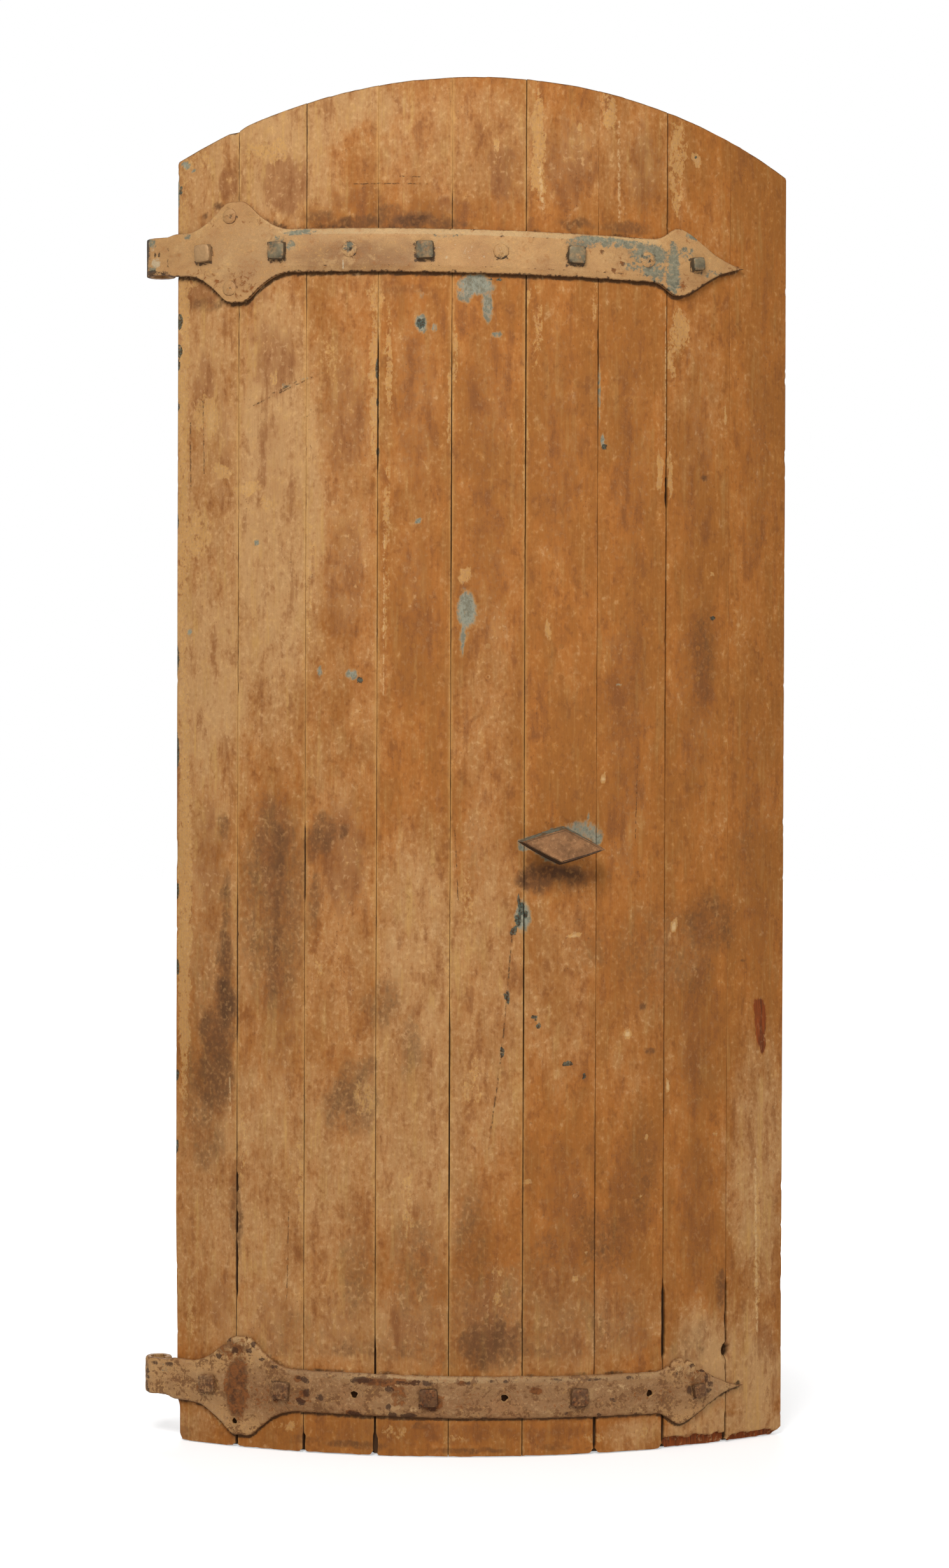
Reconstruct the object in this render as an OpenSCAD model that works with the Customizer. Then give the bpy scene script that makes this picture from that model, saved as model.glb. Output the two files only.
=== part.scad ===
// Arched ledged-and-boarded door leaf, bowed in plan, with two strap hinges, a turning knob and a lift latch.
// Millimetres. +Z is up, the front looks along -Y, the origin is on the hinge axis at the lower eye.

/* [Leaf] */
// Height of the arch's crown above the foot of the boards
leaf_height = 1830; // [1500:5:2400]
// Radius of the bowed front face in plan
bow_radius = 725; // [500:5:1500]
// Angle that the leaf spans round the bow
bow_angle = 70; // [40:1:100]
// Number of vertical boards
board_count = 9; // [5:1:15]
// Thickness of each board
board_t = 30; // [18:1:50]
// Open joint between the faces of two boards
joint_gap = 0.8; // [0.3:0.1:3]
// Thickness of the tongue on each board's closing edge
tongue_t = 8; // [5:0.5:12]
// How far the tongue enters the next board
tongue_reach = 7; // [4:0.5:12]
// Clearance round a tongue in its groove
tongue_gap = 0.3; // [0.2:0.05:0.8]
// Radius of the arched head in elevation
arch_radius = 905; // [600:5:2000]
// Sideways shift of the arch's centre from the middle of the leaf
arch_shift = -10; // [-40:1:40]

/* [Ledges] */
// Thickness of the curved ledges on the back
ledge_t = 34; // [20:1:60]
// Height of each ledge
ledge_h = 140; // [80:1:220]
// Chamfer on the back edges of a ledge
ledge_chamfer = 8; // [2:0.5:12]
// Height of the middle ledge's centre above the foot
middle_ledge_z = 1057; // [940:1:1300]
// Distance from the hinge edge to the ledges' ends
ledge_hinge_inset = 18; // [5:1:60]
// Distance from the closing edge to the ledges' ends
ledge_close_inset = 34; // [10:1:80]
// Seating gap between pieces with curved faces
seat_gap = 0.2; // [0.1:0.05:0.5]

/* [Straps] */
// Thickness of the strap iron
strap_t = 9; // [5:0.5:14]
// Width of the strap
strap_w = 59; // [36:1:80]
// Distance from the crown down to the upper strap's line at the middle of the leaf
upper_strap_drop = 232; // [130:1:430]
// Height of the lower strap at the middle of the leaf
lower_strap_z = 80; // [76:1:300]
// Droop of the upper strap towards its point, in degrees
upper_strap_droop = 1.2; // [0:0.1:2]
// Droop of the lower strap towards its point, in degrees
lower_strap_droop = 0.6; // [0:0.1:2]
// Shift of the lower strap towards the closing edge, along the face
lower_strap_shift = 10; // [-20:1:20]
// Distance along the face from the hinge edge to the middle of the lobe
lobe_from_edge = 98; // [90:1:140]
// Half height of the lobe
lobe_half_h = 68; // [50:1:90]
// Half width of the lobe's blunt top
lobe_tip_half = 15; // [8:1:24]
// Distance from the lobe's middle to where its flanks meet the strap
lobe_half_l = 76; // [60:1:85]
// Distance along the face from the hinge edge to the shoulder of the point
point_from_edge = 675; // [620:1:720]
// Length of the point from its shoulder to its tip
point_l = 129; // [80:1:160]
// Half height of the point's widest place
point_half_h = 47; // [38:1:64]
// Distance from the shoulder to the point's widest place
point_bulge = 28; // [16:1:40]

/* [Hinge eyes] */
// Diameter of the bore for a hinge pin
eye_bore_d = 22; // [12:0.5:30]
// Height of each eye
eye_h = 52; // [34:1:76]
// Distance from the leaf's hinge edge to the hinge axis
eye_reach = 35; // [28:1:60]
// Length of the slit at the tail of the rolled eye
eye_slit = 2; // [1:0.5:4]

/* [Strap fastenings] */
// Distance along the face from the hinge edge to the first bolt
root_bolt_from_edge = 50; // [36:1:58]
// Distance along the face from the hinge edge to the first hole of the row
row_from_edge = 159; // [150:1:180]
// Pitch of the row of holes, bolts and screws by turns
row_pitch = 99.6; // [90:0.1:104]
// Distance along the face from the shoulder of the point to its own bolt
point_bolt_from_shoulder = 54; // [44:1:62]
// Shank diameter of the bolts
bolt_d = 12.7; // [8:0.1:16]
// Across the flats of a square bolt head
bolt_head_w = 24; // [18:0.5:32]
// Across the flats of the bolt head at the point
point_head_w = 18; // [16:0.5:28]
// Height of a bolt head
bolt_head_h = 9; // [5:0.5:14]
// Clearance round a shank in its hole
shank_gap = 0.15; // [0.05:0.05:0.4]
// Outer diameter of the washers
washer_d = 38; // [28:1:50]
// Thickness of the washers
washer_t = 3; // [1.5:0.5:6]
// Across the flats of the square nuts
nut_w = 22; // [18:0.5:32]
// Height of the square nuts
nut_h = 11; // [6:0.5:16]
// Length of bolt that shows past a nut
bolt_tail = 5; // [1:0.5:15]
// Diameter of the domed screw heads
screw_head_d = 21; // [14:0.5:26]
// Height of the domed screw heads
screw_head_h = 3.2; // [1.5:0.1:6]
// Shank diameter of the strap screws
screw_d = 7; // [4:0.5:9]
// Depth that the strap screws enter the boards
screw_depth = 22; // [10:1:26]
// Height of the lobe's screws above and below the strap's centre line
lobe_screw_z = 48; // [40:1:56]
// Distance of the lobe's screws from its middle, towards the hinge edge
lobe_screw_back = 9; // [8:0.5:12]

/* [Ledge fastenings] */
// Shank diameter of the nails and screws in the ledges
nail_d = 4.4; // [3:0.1:6]
// Head diameter of the nails and screws in the ledges
nail_head_d = 8; // [6.4:0.1:14]
// Height of a ledge screw's head
nail_head_h = 2; // [1:0.1:4]
// Distance between the two rows of nails in the middle ledge
nail_rows = 41; // [20:1:90]
// Distance between the two rows of screws in the outer ledges
ledge_screw_rows = 104; // [90:1:116]
// Wood left behind the end of a nail or screw
nail_cover = 6; // [3:0.5:12]

/* [Knob] */
// Height of the knob's spindle above the foot
spindle_z = 814; // [700:1:940]
// Distance along the face from the middle of the leaf to the spindle
spindle_s = 93; // [80:1:120]
// Length of the lozenge from tip to tip
knob_l = 118; // [80:1:150]
// Height of the lozenge
knob_h = 52; // [36:1:80]
// Depth of the lozenge from back to front
knob_depth = 24; // [12:1:40]
// Depth of the bevel round the lozenge's front
knob_bevel = 11; // [3:0.5:11.5]
// Width of the bevel round the lozenge's front
knob_bevel_w = 6; // [2:0.5:9]
// Finger room between the leaf and the back of the lozenge
knob_stand = 24; // [16:1:45]
// Droop of the lozenge at rest, in degrees
knob_droop = 5.4; // [-10:0.1:10]
// Diameter of the neck behind the lozenge
neck_d = 20; // [17:0.5:24]
// Diameter of the collar on the face of the leaf
collar_d = 30; // [25:0.5:40]
// Thickness of the collar
collar_t = 6; // [3:0.5:10]
// Diameter of the spindle in the board
spindle_d = 16; // [12:0.5:16.5]
// Radial running clearance of the spindle and the latch pivot
running_gap = 0.08; // [0.02:0.01:0.1]

/* [Latch] */
// Height of the latch bar
bar_h = 28; // [18:1:40]
// Thickness of the latch bar
bar_t = 7; // [5:0.5:10]
// Gap between the back of the boards and the latch bar
bar_stand = 9; // [8.6:0.1:16]
// How far the bar runs past the leaf's closing edge
bar_past_edge = 30; // [10:1:38]
// Length of the bar behind its pivot
bar_tail = 30; // [18:1:50]
// Diameter of the latch pivot
pivot_d = 12; // [8:0.5:14]
// Diameter of the pivot's head and spacer
pivot_head_d = 24; // [18:0.5:28]
// Length of the lifting arm from the spindle to its rounded end
lifter_arm = 25; // [20:0.5:34]
// Radius of the lifting arm's rounded end
lifter_tip_r = 6; // [4:0.5:8]
// Radius of the lifter's boss
lifter_boss_r = 11; // [9:0.5:14]
// Gap between moving faces of the latch
latch_gap = 0.4; // [0.3:0.05:0.8]
// Height that the bar rises at its guide
guide_lift = 43; // [42:1:60]
// Distance along the face from the closing edge to the middle of the guide
guide_from_edge = 48; // [36:1:70]
// Width of the guide strip
guide_w = 18; // [12:1:26]
// Thickness of the guide strip
guide_t = 5; // [3:0.5:8]
// Length of the guide's two feet
guide_foot = 24; // [18:1:40]

/* [Hidden] */
$fn = 96;
PI_DEG = 180 / PI;
half_angle = bow_angle / 2;
upper_strap_z = leaf_height - upper_strap_drop;
board_angle = bow_angle / board_count;
back_radius = bow_radius - board_t;
tongue_mid = bow_radius - board_t / 2;
edge_s = -half_angle / PI_DEG * bow_radius;
ledge_out = back_radius - seat_gap;
ledge_in = ledge_out - ledge_t;
strap_in = bow_radius + seat_gap;
strap_out = strap_in + strap_t;
eye_bore_r = eye_bore_d / 2;
eye_r = eye_bore_r + strap_t;
eye_radial = strap_in - eye_bore_r;
eye_x = -eye_radial * sin(half_angle) - eye_reach * cos(half_angle);
eye_y = -eye_radial * cos(half_angle) + eye_reach * sin(half_angle);
upper_eye_z = upper_strap_z - tan(upper_strap_droop) * eye_x;
lower_eye_z = lower_strap_z - tan(lower_strap_droop) * eye_x;
upper_ledge_z = upper_strap_z;
lower_ledge_z = max(lower_strap_z, ledge_h / 2 + 6);
bolt_hole_r = bolt_d / 2 + shank_gap;
screw_hole_r = screw_d / 2 + shank_gap;
nail_hole_r = nail_d / 2 + shank_gap;
washer_sag = ledge_in - sqrt(ledge_in * ledge_in - washer_d * washer_d / 4);
washer_out = ledge_in - washer_sag - seat_gap / 2;
washer_in = washer_out - washer_t;
nut_in = washer_in - nut_h;
spindle_deg = spindle_s / bow_radius * PI_DEG;
collar_in = bow_radius + latch_gap;
knob_in = bow_radius + knob_stand;
knob_side = knob_l * knob_h / sqrt(knob_l * knob_l + knob_h * knob_h);
knob_lean = atan(knob_h / knob_l);
bar_out = back_radius - bar_stand;
bar_in = bar_out - bar_t;
bar_z = spindle_z + lifter_boss_r + latch_gap + bar_h / 2;
lifter_out = bar_out - 0.5;
lifter_in = lifter_out - bar_t - 0.5;
lifter_boss_out = back_radius - 0.5;
square_w = spindle_d * 0.68;
thread_d = square_w - 1;
spindle_nut_w = 20;
spindle_nut_h = 8;
spindle_nut_out = lifter_in - 0.2;
pivot_head_out = bar_in - 0.6;
pivot_head_t = 5;
pivot_depth = 20;
guide_deg = half_angle - guide_from_edge / bow_radius * PI_DEG;
guide_low = bar_z - bar_h / 2 - latch_gap;
guide_high = guide_low + bar_h + guide_lift;
guide_seat = back_radius - 0.3;
guide_bridge = bar_in - 4;
guide_screw_z = guide_t + guide_foot / 2;

// Angle round the bow at an arc length from the middle of the front face
function arc_deg(s) = s / bow_radius * PI_DEG;

// Height of a drooping strap's centre line at an angle round the bow
function strap_line(z, droop, deg) = z - tan(droop) * bow_radius * sin(deg);

// Droop as seen square to the face at an angle round the bow
function local_droop(droop, deg) = atan(tan(droop) * cos(deg));

// Arc lengths of the five bolts and of the three row screws of a strap
function bolt_places(shift) = [
  edge_s + root_bolt_from_edge + shift,
  edge_s + row_from_edge + shift,
  edge_s + row_from_edge + 2 * row_pitch + shift,
  edge_s + row_from_edge + 4 * row_pitch + shift,
  edge_s + point_from_edge + point_bolt_from_shoulder + shift
];
function screw_places(shift) = [for (i = [1, 3, 5]) edge_s + row_from_edge + i * row_pitch + shift];
function head_w(i) = i == 4 ? point_head_w : bolt_head_w;

// Half height of the lobe and of the point along the strap
function lobe_half(t) = strap_w / 2 + (lobe_half_h - strap_w / 2) * pow(1 - t, 1.8);
function point_swell(u) = (1 - cos(180 * (u + point_bulge / 5) / (1.2 * point_bulge))) / 2;
function point_taper(t) = 0.55 * (1 - t) + 0.45 * pow(cos(90 * t), 4);
function point_half(u) = u < point_bulge
  ? strap_w / 2 + (point_half_h - strap_w / 2) * point_swell(u)
  : point_half_h * point_taper((u - point_bulge) / (point_l - point_bulge));

lobe_steps = [for (i = [1:5]) i / 6];
lobe_crown = [[lobe_tip_half * 0.5, lobe_half_h], [lobe_tip_half, lobe_half_h - lobe_tip_half * 0.12]];
lobe_sides = [for (t = lobe_steps) [lobe_tip_half + t * (lobe_half_l - lobe_tip_half), lobe_half(t)]];
lobe_flank = concat(lobe_crown, lobe_sides);
lobe_end = [[lobe_half_l, strap_w / 2 - 1.5]];
lobe_right = concat(lobe_flank, lobe_end);
lobe_n = len(lobe_right);
lobe_outline = concat(
  lobe_right,
  [for (i = [lobe_n - 1:-1:0]) [lobe_right[i][0], -lobe_right[i][1]]],
  [for (i = [0:lobe_n - 1]) [-lobe_right[i][0], -lobe_right[i][1]]],
  [for (i = [lobe_n - 1:-1:0]) [-lobe_right[i][0], lobe_right[i][1]]]
);
point_steps = concat(
  [for (i = [0:5]) point_bulge * i / 5],
  [for (i = [1:9]) point_bulge + (point_l - point_bulge) * i / 10]
);
point_upper = concat([[-point_bulge / 4, strap_w / 2 - 2]], [for (u = point_steps) [u, point_half(u)]]);
point_n = len(point_upper);
point_outline = concat(
  [for (i = [0:point_n - 1]) [point_upper[i][0], -point_upper[i][1]]],
  [[point_l, 0]],
  [for (i = [point_n - 1:-1:0]) point_upper[i]]
);

// Stands children on the bow's axis, turned to an angle and lifted to a height above the foot
module on_bow(deg, z) {
  translate([-eye_x, -eye_y, z - lower_eye_z]) rotate([0, 0, deg]) children();
}

// Turns a flat outline to face outwards from a radius
module facing(deg, z, radius) {
  on_bow(deg, z) translate([0, -radius, 0]) rotate([90, 0, 0]) children();
}

// Sector of a ring between two radii, angles and heights
module sector(r1, r2, deg1, deg2, z1, z2) {
  on_bow(0, 0) rotate([0, 0, deg1 - 90]) rotate_extrude(angle = deg2 - deg1)
    polygon([[r1, z1], [r2, z1], [r2, z2], [r1, z2]]);
}

// Round rod along the radius, with its inner and outer ends at given radii
module rod(deg, z, r_in, r_out, radius) {
  facing(deg, z, r_in) cylinder(h = r_out - r_in, r = radius);
}

// Square block along the radius
module block(deg, z, r_in, r_out, w) {
  facing(deg, z, r_in) linear_extrude(height = r_out - r_in) square([w, w], center = true);
}

// Everything above the arched head
module above_arch() {
  centre_z = leaf_height - arch_radius;
  translate([-eye_x + arch_shift, -eye_y, centre_z - lower_eye_z]) difference() {
    translate([-arch_radius, -bow_radius - 100, 0]) cube([2 * arch_radius, bow_radius, arch_radius + 100]);
    rotate([90, 0, 0]) cylinder(h = 3 * bow_radius, r = arch_radius, center = true);
  }
}

// Holes for the bolts of one strap, and for its screws
module bolt_holes(z, droop, shift, lo, hi) {
  for (s = bolt_places(shift))
    if (arc_deg(s) > lo && arc_deg(s) < hi)
      rod(arc_deg(s), strap_line(z, droop, arc_deg(s)), ledge_in - 5, strap_out + 5, bolt_hole_r);
}

module screw_holes(z, droop, shift, lo, hi, depth, lobe_signs) {
  for (s = screw_places(shift))
    if (arc_deg(s) > lo && arc_deg(s) < hi)
      rod(arc_deg(s), strap_line(z, droop, arc_deg(s)), bow_radius - depth, strap_out + 5, screw_hole_r);
  lobe_s = edge_s + lobe_from_edge - lobe_screw_back + shift;
  lobe_deg = arc_deg(lobe_s);
  if (lobe_deg > lo && lobe_deg < hi)
    for (k = lobe_signs)
      rod(lobe_deg, strap_line(z, droop, lobe_deg) + k * lobe_screw_z,
        bow_radius - depth, strap_out + 5, screw_hole_r);
}

// Nail and screw holes of the ledges in one board
module ledge_holes(deg) {
  for (k = [-0.5, 0.5]) {
    rod(deg, middle_ledge_z + k * nail_rows, back_radius - 1, bow_radius + 1, nail_hole_r);
    rod(deg, middle_ledge_z + k * nail_rows, bow_radius - nail_head_h - 0.4, bow_radius + 1,
      nail_head_d / 2 + shank_gap);
    for (z = [upper_ledge_z, lower_ledge_z])
      rod(deg, z + k * ledge_screw_rows, back_radius - 1, bow_radius - nail_cover + 1, nail_hole_r);
  }
}

// One board with a tongue on its closing edge and a groove on its hinge edge
module board(i) {
  lo = -half_angle + i * board_angle;
  hi = lo + board_angle;
  mid = (lo + hi) / 2;
  gap_deg = arc_deg(joint_gap / 2);
  reach_deg = arc_deg(tongue_reach);
  slack = board_angle / 4;
  color([0.62, 0.42, 0.22]) difference() {
    union() {
      sector(back_radius, bow_radius, lo + (i > 0 ? gap_deg : 0), hi - (i < board_count - 1 ? gap_deg : 0),
        0, leaf_height + 10);
      if (i < board_count - 1)
        sector(tongue_mid - tongue_t / 2, tongue_mid + tongue_t / 2, hi - 1, hi + reach_deg,
          0, leaf_height + 10);
    }
    if (i > 0)
      sector(tongue_mid - tongue_t / 2 - tongue_gap, tongue_mid + tongue_t / 2 + tongue_gap,
        lo - 1, lo + reach_deg + arc_deg(2 * tongue_gap), -5, leaf_height + 20);
    above_arch();
    bolt_holes(upper_strap_z, upper_strap_droop, 0, lo - slack, hi + slack);
    bolt_holes(lower_strap_z, lower_strap_droop, lower_strap_shift, lo - slack, hi + slack);
    screw_holes(upper_strap_z, upper_strap_droop, 0, lo - slack, hi + slack, screw_depth + 1, [-1, 1]);
    screw_holes(lower_strap_z, lower_strap_droop, lower_strap_shift, lo - slack, hi + slack, screw_depth, [-1]);
    ledge_holes(mid);
    if (spindle_deg > lo && spindle_deg < hi)
      rod(spindle_deg, spindle_z, back_radius - 5, bow_radius + 5, spindle_d / 2 + running_gap);
    if (lo < 0 && hi > 0)
      rod(0, bar_z, back_radius - 5, back_radius + pivot_depth + 1, pivot_d / 2 + shank_gap);
    if (guide_deg > lo && guide_deg < hi)
      for (z = [guide_low - guide_screw_z, guide_high + guide_screw_z])
        rod(guide_deg, z, back_radius - 5, back_radius + pivot_depth + 1, nail_hole_r);
  }
}

module board_1() board(0);
module board_2() board(1);
module board_3() board(2);
module board_4() board(3);
module board_5() board(4);
module board_6() board(5);
module board_7() board(6);
module board_8() board(7);
module board_9() board(8);

// Curved ledge with chamfered back edges
module ledge(z) {
  z1 = z - ledge_h / 2;
  z2 = z + ledge_h / 2;
  start = -half_angle + arc_deg(ledge_hinge_inset);
  stop = half_angle - arc_deg(ledge_close_inset);
  on_bow(0, 0) rotate([0, 0, start - 90]) rotate_extrude(angle = stop - start)
    polygon([
      [ledge_out, z1], [ledge_out, z2], [ledge_in + ledge_chamfer, z2], [ledge_in, z2 - ledge_chamfer],
      [ledge_in, z1 + ledge_chamfer], [ledge_in + ledge_chamfer, z1]
    ]);
}

module screwed_ledge(z, strap_z, droop, shift) {
  color([0.55, 0.37, 0.2]) difference() {
    ledge(z);
    bolt_holes(strap_z, droop, shift, -half_angle, half_angle);
    for (i = [0:board_count - 1], k = [-0.5, 0.5])
      rod(board_mid(i), z + k * ledge_screw_rows, ledge_in - 5, ledge_out + 5, nail_hole_r);
  }
}

function board_mid(i) = -half_angle + (i + 0.5) * board_angle;

module upper_ledge() screwed_ledge(upper_ledge_z, upper_strap_z, upper_strap_droop, 0);
module lower_ledge() screwed_ledge(lower_ledge_z, lower_strap_z, lower_strap_droop, lower_strap_shift);
module middle_ledge() {
  color([0.55, 0.37, 0.2]) difference() {
    ledge(middle_ledge_z);
    for (i = [0:board_count - 1], k = [-0.5, 0.5])
      rod(board_mid(i), middle_ledge_z + k * nail_rows, ledge_in + nail_cover - 1, ledge_out + 5, nail_hole_r);
  }
}

// Strap iron: band, lobe and point cut from one bowed plate
module strap(z, droop, shift, lobe_signs) {
  lobe_deg = arc_deg(edge_s + lobe_from_edge + shift);
  point_deg = arc_deg(edge_s + point_from_edge + shift);
  tip_deg = arc_deg(edge_s + point_from_edge + point_l + shift);
  point_mid = (point_deg + tip_deg) / 2;
  point_u = bow_radius * sin(point_deg - point_mid);
  band_x = bow_radius * sin(point_deg) + point_bulge / 2;
  depth = bow_radius / 2;
  color([0.6, 0.48, 0.34]) difference() {
    intersection() {
      sector(strap_in, strap_out, -half_angle, tip_deg + 2, z - 2 * lobe_half_h, z + 2 * lobe_half_h);
      union() {
        facing(0, z, bow_radius - depth) linear_extrude(height = 2 * depth) rotate([0, 0, -droop])
          translate([-bow_radius, -strap_w / 2]) square([bow_radius + band_x, strap_w]);
        facing(lobe_deg, strap_line(z, droop, lobe_deg), bow_radius - depth)
          linear_extrude(height = 2 * depth) rotate([0, 0, -local_droop(droop, lobe_deg)])
            polygon(lobe_outline);
        facing(point_mid, strap_line(z, droop, point_deg), bow_radius - depth)
          linear_extrude(height = 2 * depth) translate([point_u, 0])
            rotate([0, 0, -local_droop(droop, point_deg)]) polygon(point_outline);
      }
    }
    bolt_holes(z, droop, shift, -half_angle, half_angle);
    screw_holes(z, droop, shift, -half_angle, half_angle, 1, lobe_signs);
  }
}

// Rolled eye of a strap, with the straight length that carries it on from the plate's end
module strap_eye(eye_z) {
  color([0.6, 0.48, 0.34]) difference() {
    union() {
      on_bow(-half_angle, eye_z) translate([-eye_reach, -strap_out + 0.2, -eye_h / 2])
        cube([eye_reach, strap_t - 0.4, eye_h]);
      translate([0, 0, eye_z - lower_eye_z]) cylinder(h = eye_h, r = eye_r, center = true);
    }
    translate([0, 0, eye_z - lower_eye_z]) cylinder(h = 2 * eye_h, r = eye_bore_r, center = true);
    on_bow(-half_angle, eye_z) translate([-eye_reach + 3, -strap_in + 1.5, -eye_h])
      cube([eye_r, eye_slit, 2 * eye_h]);
  }
}

module upper_strap() strap(upper_strap_z, upper_strap_droop, 0, [-1, 1]);
module lower_strap() strap(lower_strap_z, lower_strap_droop, lower_strap_shift, [-1]);
module upper_strap_eye() strap_eye(upper_eye_z);
module lower_strap_eye() strap_eye(lower_eye_z);

// Square-headed bolts through strap, board and ledge
module strap_bolts(z, droop, shift) {
  places = bolt_places(shift);
  color([0.4, 0.38, 0.32]) for (i = [0:len(places) - 1]) {
    deg = arc_deg(places[i]);
    line_z = strap_line(z, droop, deg);
    block(deg, line_z, strap_out, strap_out + bolt_head_h, head_w(i));
    rod(deg, line_z, nut_in - bolt_tail, strap_out + 1, bolt_d / 2);
  }
}

module strap_washers(z, droop, shift) {
  color([0.42, 0.36, 0.3]) for (s = bolt_places(shift)) {
    deg = arc_deg(s);
    facing(deg, strap_line(z, droop, deg), washer_in) difference() {
      cylinder(h = washer_t, r = washer_d / 2);
      translate([0, 0, -1]) cylinder(h = washer_t + 2, r = bolt_hole_r);
    }
  }
}

module strap_nuts(z, droop, shift) {
  color([0.4, 0.34, 0.28]) for (s = bolt_places(shift)) {
    deg = arc_deg(s);
    facing(deg, strap_line(z, droop, deg), nut_in) difference() {
      linear_extrude(height = nut_h) square([nut_w, nut_w], center = true);
      translate([0, 0, -1]) cylinder(h = nut_h + 2, r = bolt_hole_r);
    }
  }
}

module upper_strap_bolts() strap_bolts(upper_strap_z, upper_strap_droop, 0);
module lower_strap_bolts() strap_bolts(lower_strap_z, lower_strap_droop, lower_strap_shift);
module upper_strap_washers() strap_washers(upper_strap_z, upper_strap_droop, 0);
module lower_strap_washers() strap_washers(lower_strap_z, lower_strap_droop, lower_strap_shift);
module upper_strap_nuts() strap_nuts(upper_strap_z, upper_strap_droop, 0);
module lower_strap_nuts() strap_nuts(lower_strap_z, lower_strap_droop, lower_strap_shift);

// Domed wood screws that hold the strap between its bolts
module dome_screw(deg, z) {
  dome_r = (screw_head_d * screw_head_d / 4 + screw_head_h * screw_head_h) / (2 * screw_head_h);
  facing(deg, z, strap_out) intersection() {
    translate([0, 0, screw_head_h - dome_r]) sphere(r = dome_r);
    cylinder(h = screw_head_h + 1, r = screw_head_d);
  }
  rod(deg, z, bow_radius - screw_depth, strap_out + 0.5, screw_d / 2);
}

module upper_strap_screws() {
  lobe_deg = arc_deg(edge_s + lobe_from_edge - lobe_screw_back);
  color([0.55, 0.42, 0.3]) {
    for (s = screw_places(0)) dome_screw(arc_deg(s), strap_line(upper_strap_z, upper_strap_droop, arc_deg(s)));
    for (k = [-1, 1])
      dome_screw(lobe_deg, strap_line(upper_strap_z, upper_strap_droop, lobe_deg) + k * lobe_screw_z);
  }
}

// Round-headed screws driven from the back through an outer ledge into every board
module ledge_screws(z) {
  sag = ledge_in - sqrt(ledge_in * ledge_in - nail_head_d * nail_head_d / 4);
  head_out = ledge_in - sag - seat_gap / 2;
  color([0.4, 0.3, 0.24]) for (i = [0:board_count - 1], k = [-0.5, 0.5]) {
    rod(board_mid(i), z + k * ledge_screw_rows, head_out - nail_head_h, head_out, nail_head_d / 2);
    rod(board_mid(i), z + k * ledge_screw_rows, head_out - 1, bow_radius - nail_cover, nail_d / 2);
  }
}

module upper_ledge_screws() ledge_screws(upper_ledge_z);
module lower_ledge_screws() ledge_screws(lower_ledge_z);

// Nails punched home through the boards into the middle ledge
module middle_ledge_nails() {
  color([0.4, 0.3, 0.24]) for (i = [0:board_count - 1], k = [-0.5, 0.5]) {
    z = middle_ledge_z + k * nail_rows;
    rod(board_mid(i), z, bow_radius - nail_head_h - 0.2, bow_radius - 0.2, nail_head_d / 2);
    rod(board_mid(i), z, ledge_in + nail_cover, bow_radius - nail_head_h, nail_d / 2);
  }
}

// Bevelled bar for one pair of the lozenge's sides
module bevel_bar(lean) {
  wide = knob_side / 2;
  narrow = wide - knob_bevel_w;
  rotate([0, 0, lean]) rotate([90, 0, 90]) linear_extrude(height = 2 * knob_l, center = true)
    polygon([[-wide, 0], [wide, 0], [wide, knob_depth - knob_bevel], [narrow, knob_depth],
      [-narrow, knob_depth], [-wide, knob_depth - knob_bevel]]);
}

// Forged lozenge with its neck, collar and spindle in one piece
module handle_knob() {
  color([0.58, 0.42, 0.26]) {
    facing(spindle_deg, spindle_z, knob_in) rotate([0, 0, -knob_droop]) intersection() {
      bevel_bar(knob_lean);
      bevel_bar(-knob_lean);
    }
    rod(spindle_deg, spindle_z, collar_in, knob_in + 1, neck_d / 2);
    rod(spindle_deg, spindle_z, collar_in, collar_in + collar_t, collar_d / 2);
    rod(spindle_deg, spindle_z, lifter_boss_out + 0.3, collar_in + 1, spindle_d / 2);
    block(spindle_deg, spindle_z, lifter_in, lifter_boss_out + 1, square_w);
    rod(spindle_deg, spindle_z, spindle_nut_out - spindle_nut_h - 4, lifter_in + 1, thread_d / 2);
  }
}

// Lifting arm keyed on the spindle's square, with a boss towards the boards
module latch_lifter() {
  tip_z = lifter_boss_r - lifter_tip_r;
  lift_t = lifter_out - lifter_in;
  low_lean = asin((lifter_boss_r - lifter_tip_r) / sqrt(lifter_arm * lifter_arm + tip_z * tip_z));
  axis_lean = atan(tip_z / lifter_arm);
  low_deg = axis_lean + low_lean - 90;
  web_boss_r = lifter_boss_r - 0.3;
  web_tip_r = lifter_tip_r - 0.3;
  color([0.36, 0.34, 0.32]) facing(spindle_deg, spindle_z, lifter_in) difference() {
    union() {
      cylinder(h = lift_t, r = lifter_boss_r);
      translate([lifter_arm, tip_z, 0]) cylinder(h = lift_t, r = lifter_tip_r);
      linear_extrude(height = lift_t) polygon([
        [0, web_boss_r], [0, 0],
        [web_boss_r * cos(low_deg), web_boss_r * sin(low_deg)],
        [lifter_arm + web_tip_r * cos(low_deg), tip_z + web_tip_r * sin(low_deg)],
        [lifter_arm, tip_z + web_tip_r]
      ]);
      translate([0, 0, lift_t]) cylinder(h = lifter_boss_out - lifter_out, r = lifter_boss_r - 0.6);
    }
    translate([0, 0, -1]) linear_extrude(height = lifter_boss_out - lifter_in + 2)
      square([square_w + 2 * shank_gap, square_w + 2 * shank_gap], center = true);
  }
}

// Square nut on the spindle's threaded end
module spindle_nut() {
  color([0.36, 0.34, 0.32]) facing(spindle_deg, spindle_z, spindle_nut_out - spindle_nut_h) difference() {
    linear_extrude(height = spindle_nut_h) square([spindle_nut_w, spindle_nut_w], center = true);
    translate([0, 0, -1]) cylinder(h = spindle_nut_h + 2, r = thread_d / 2 + shank_gap);
  }
}

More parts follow.
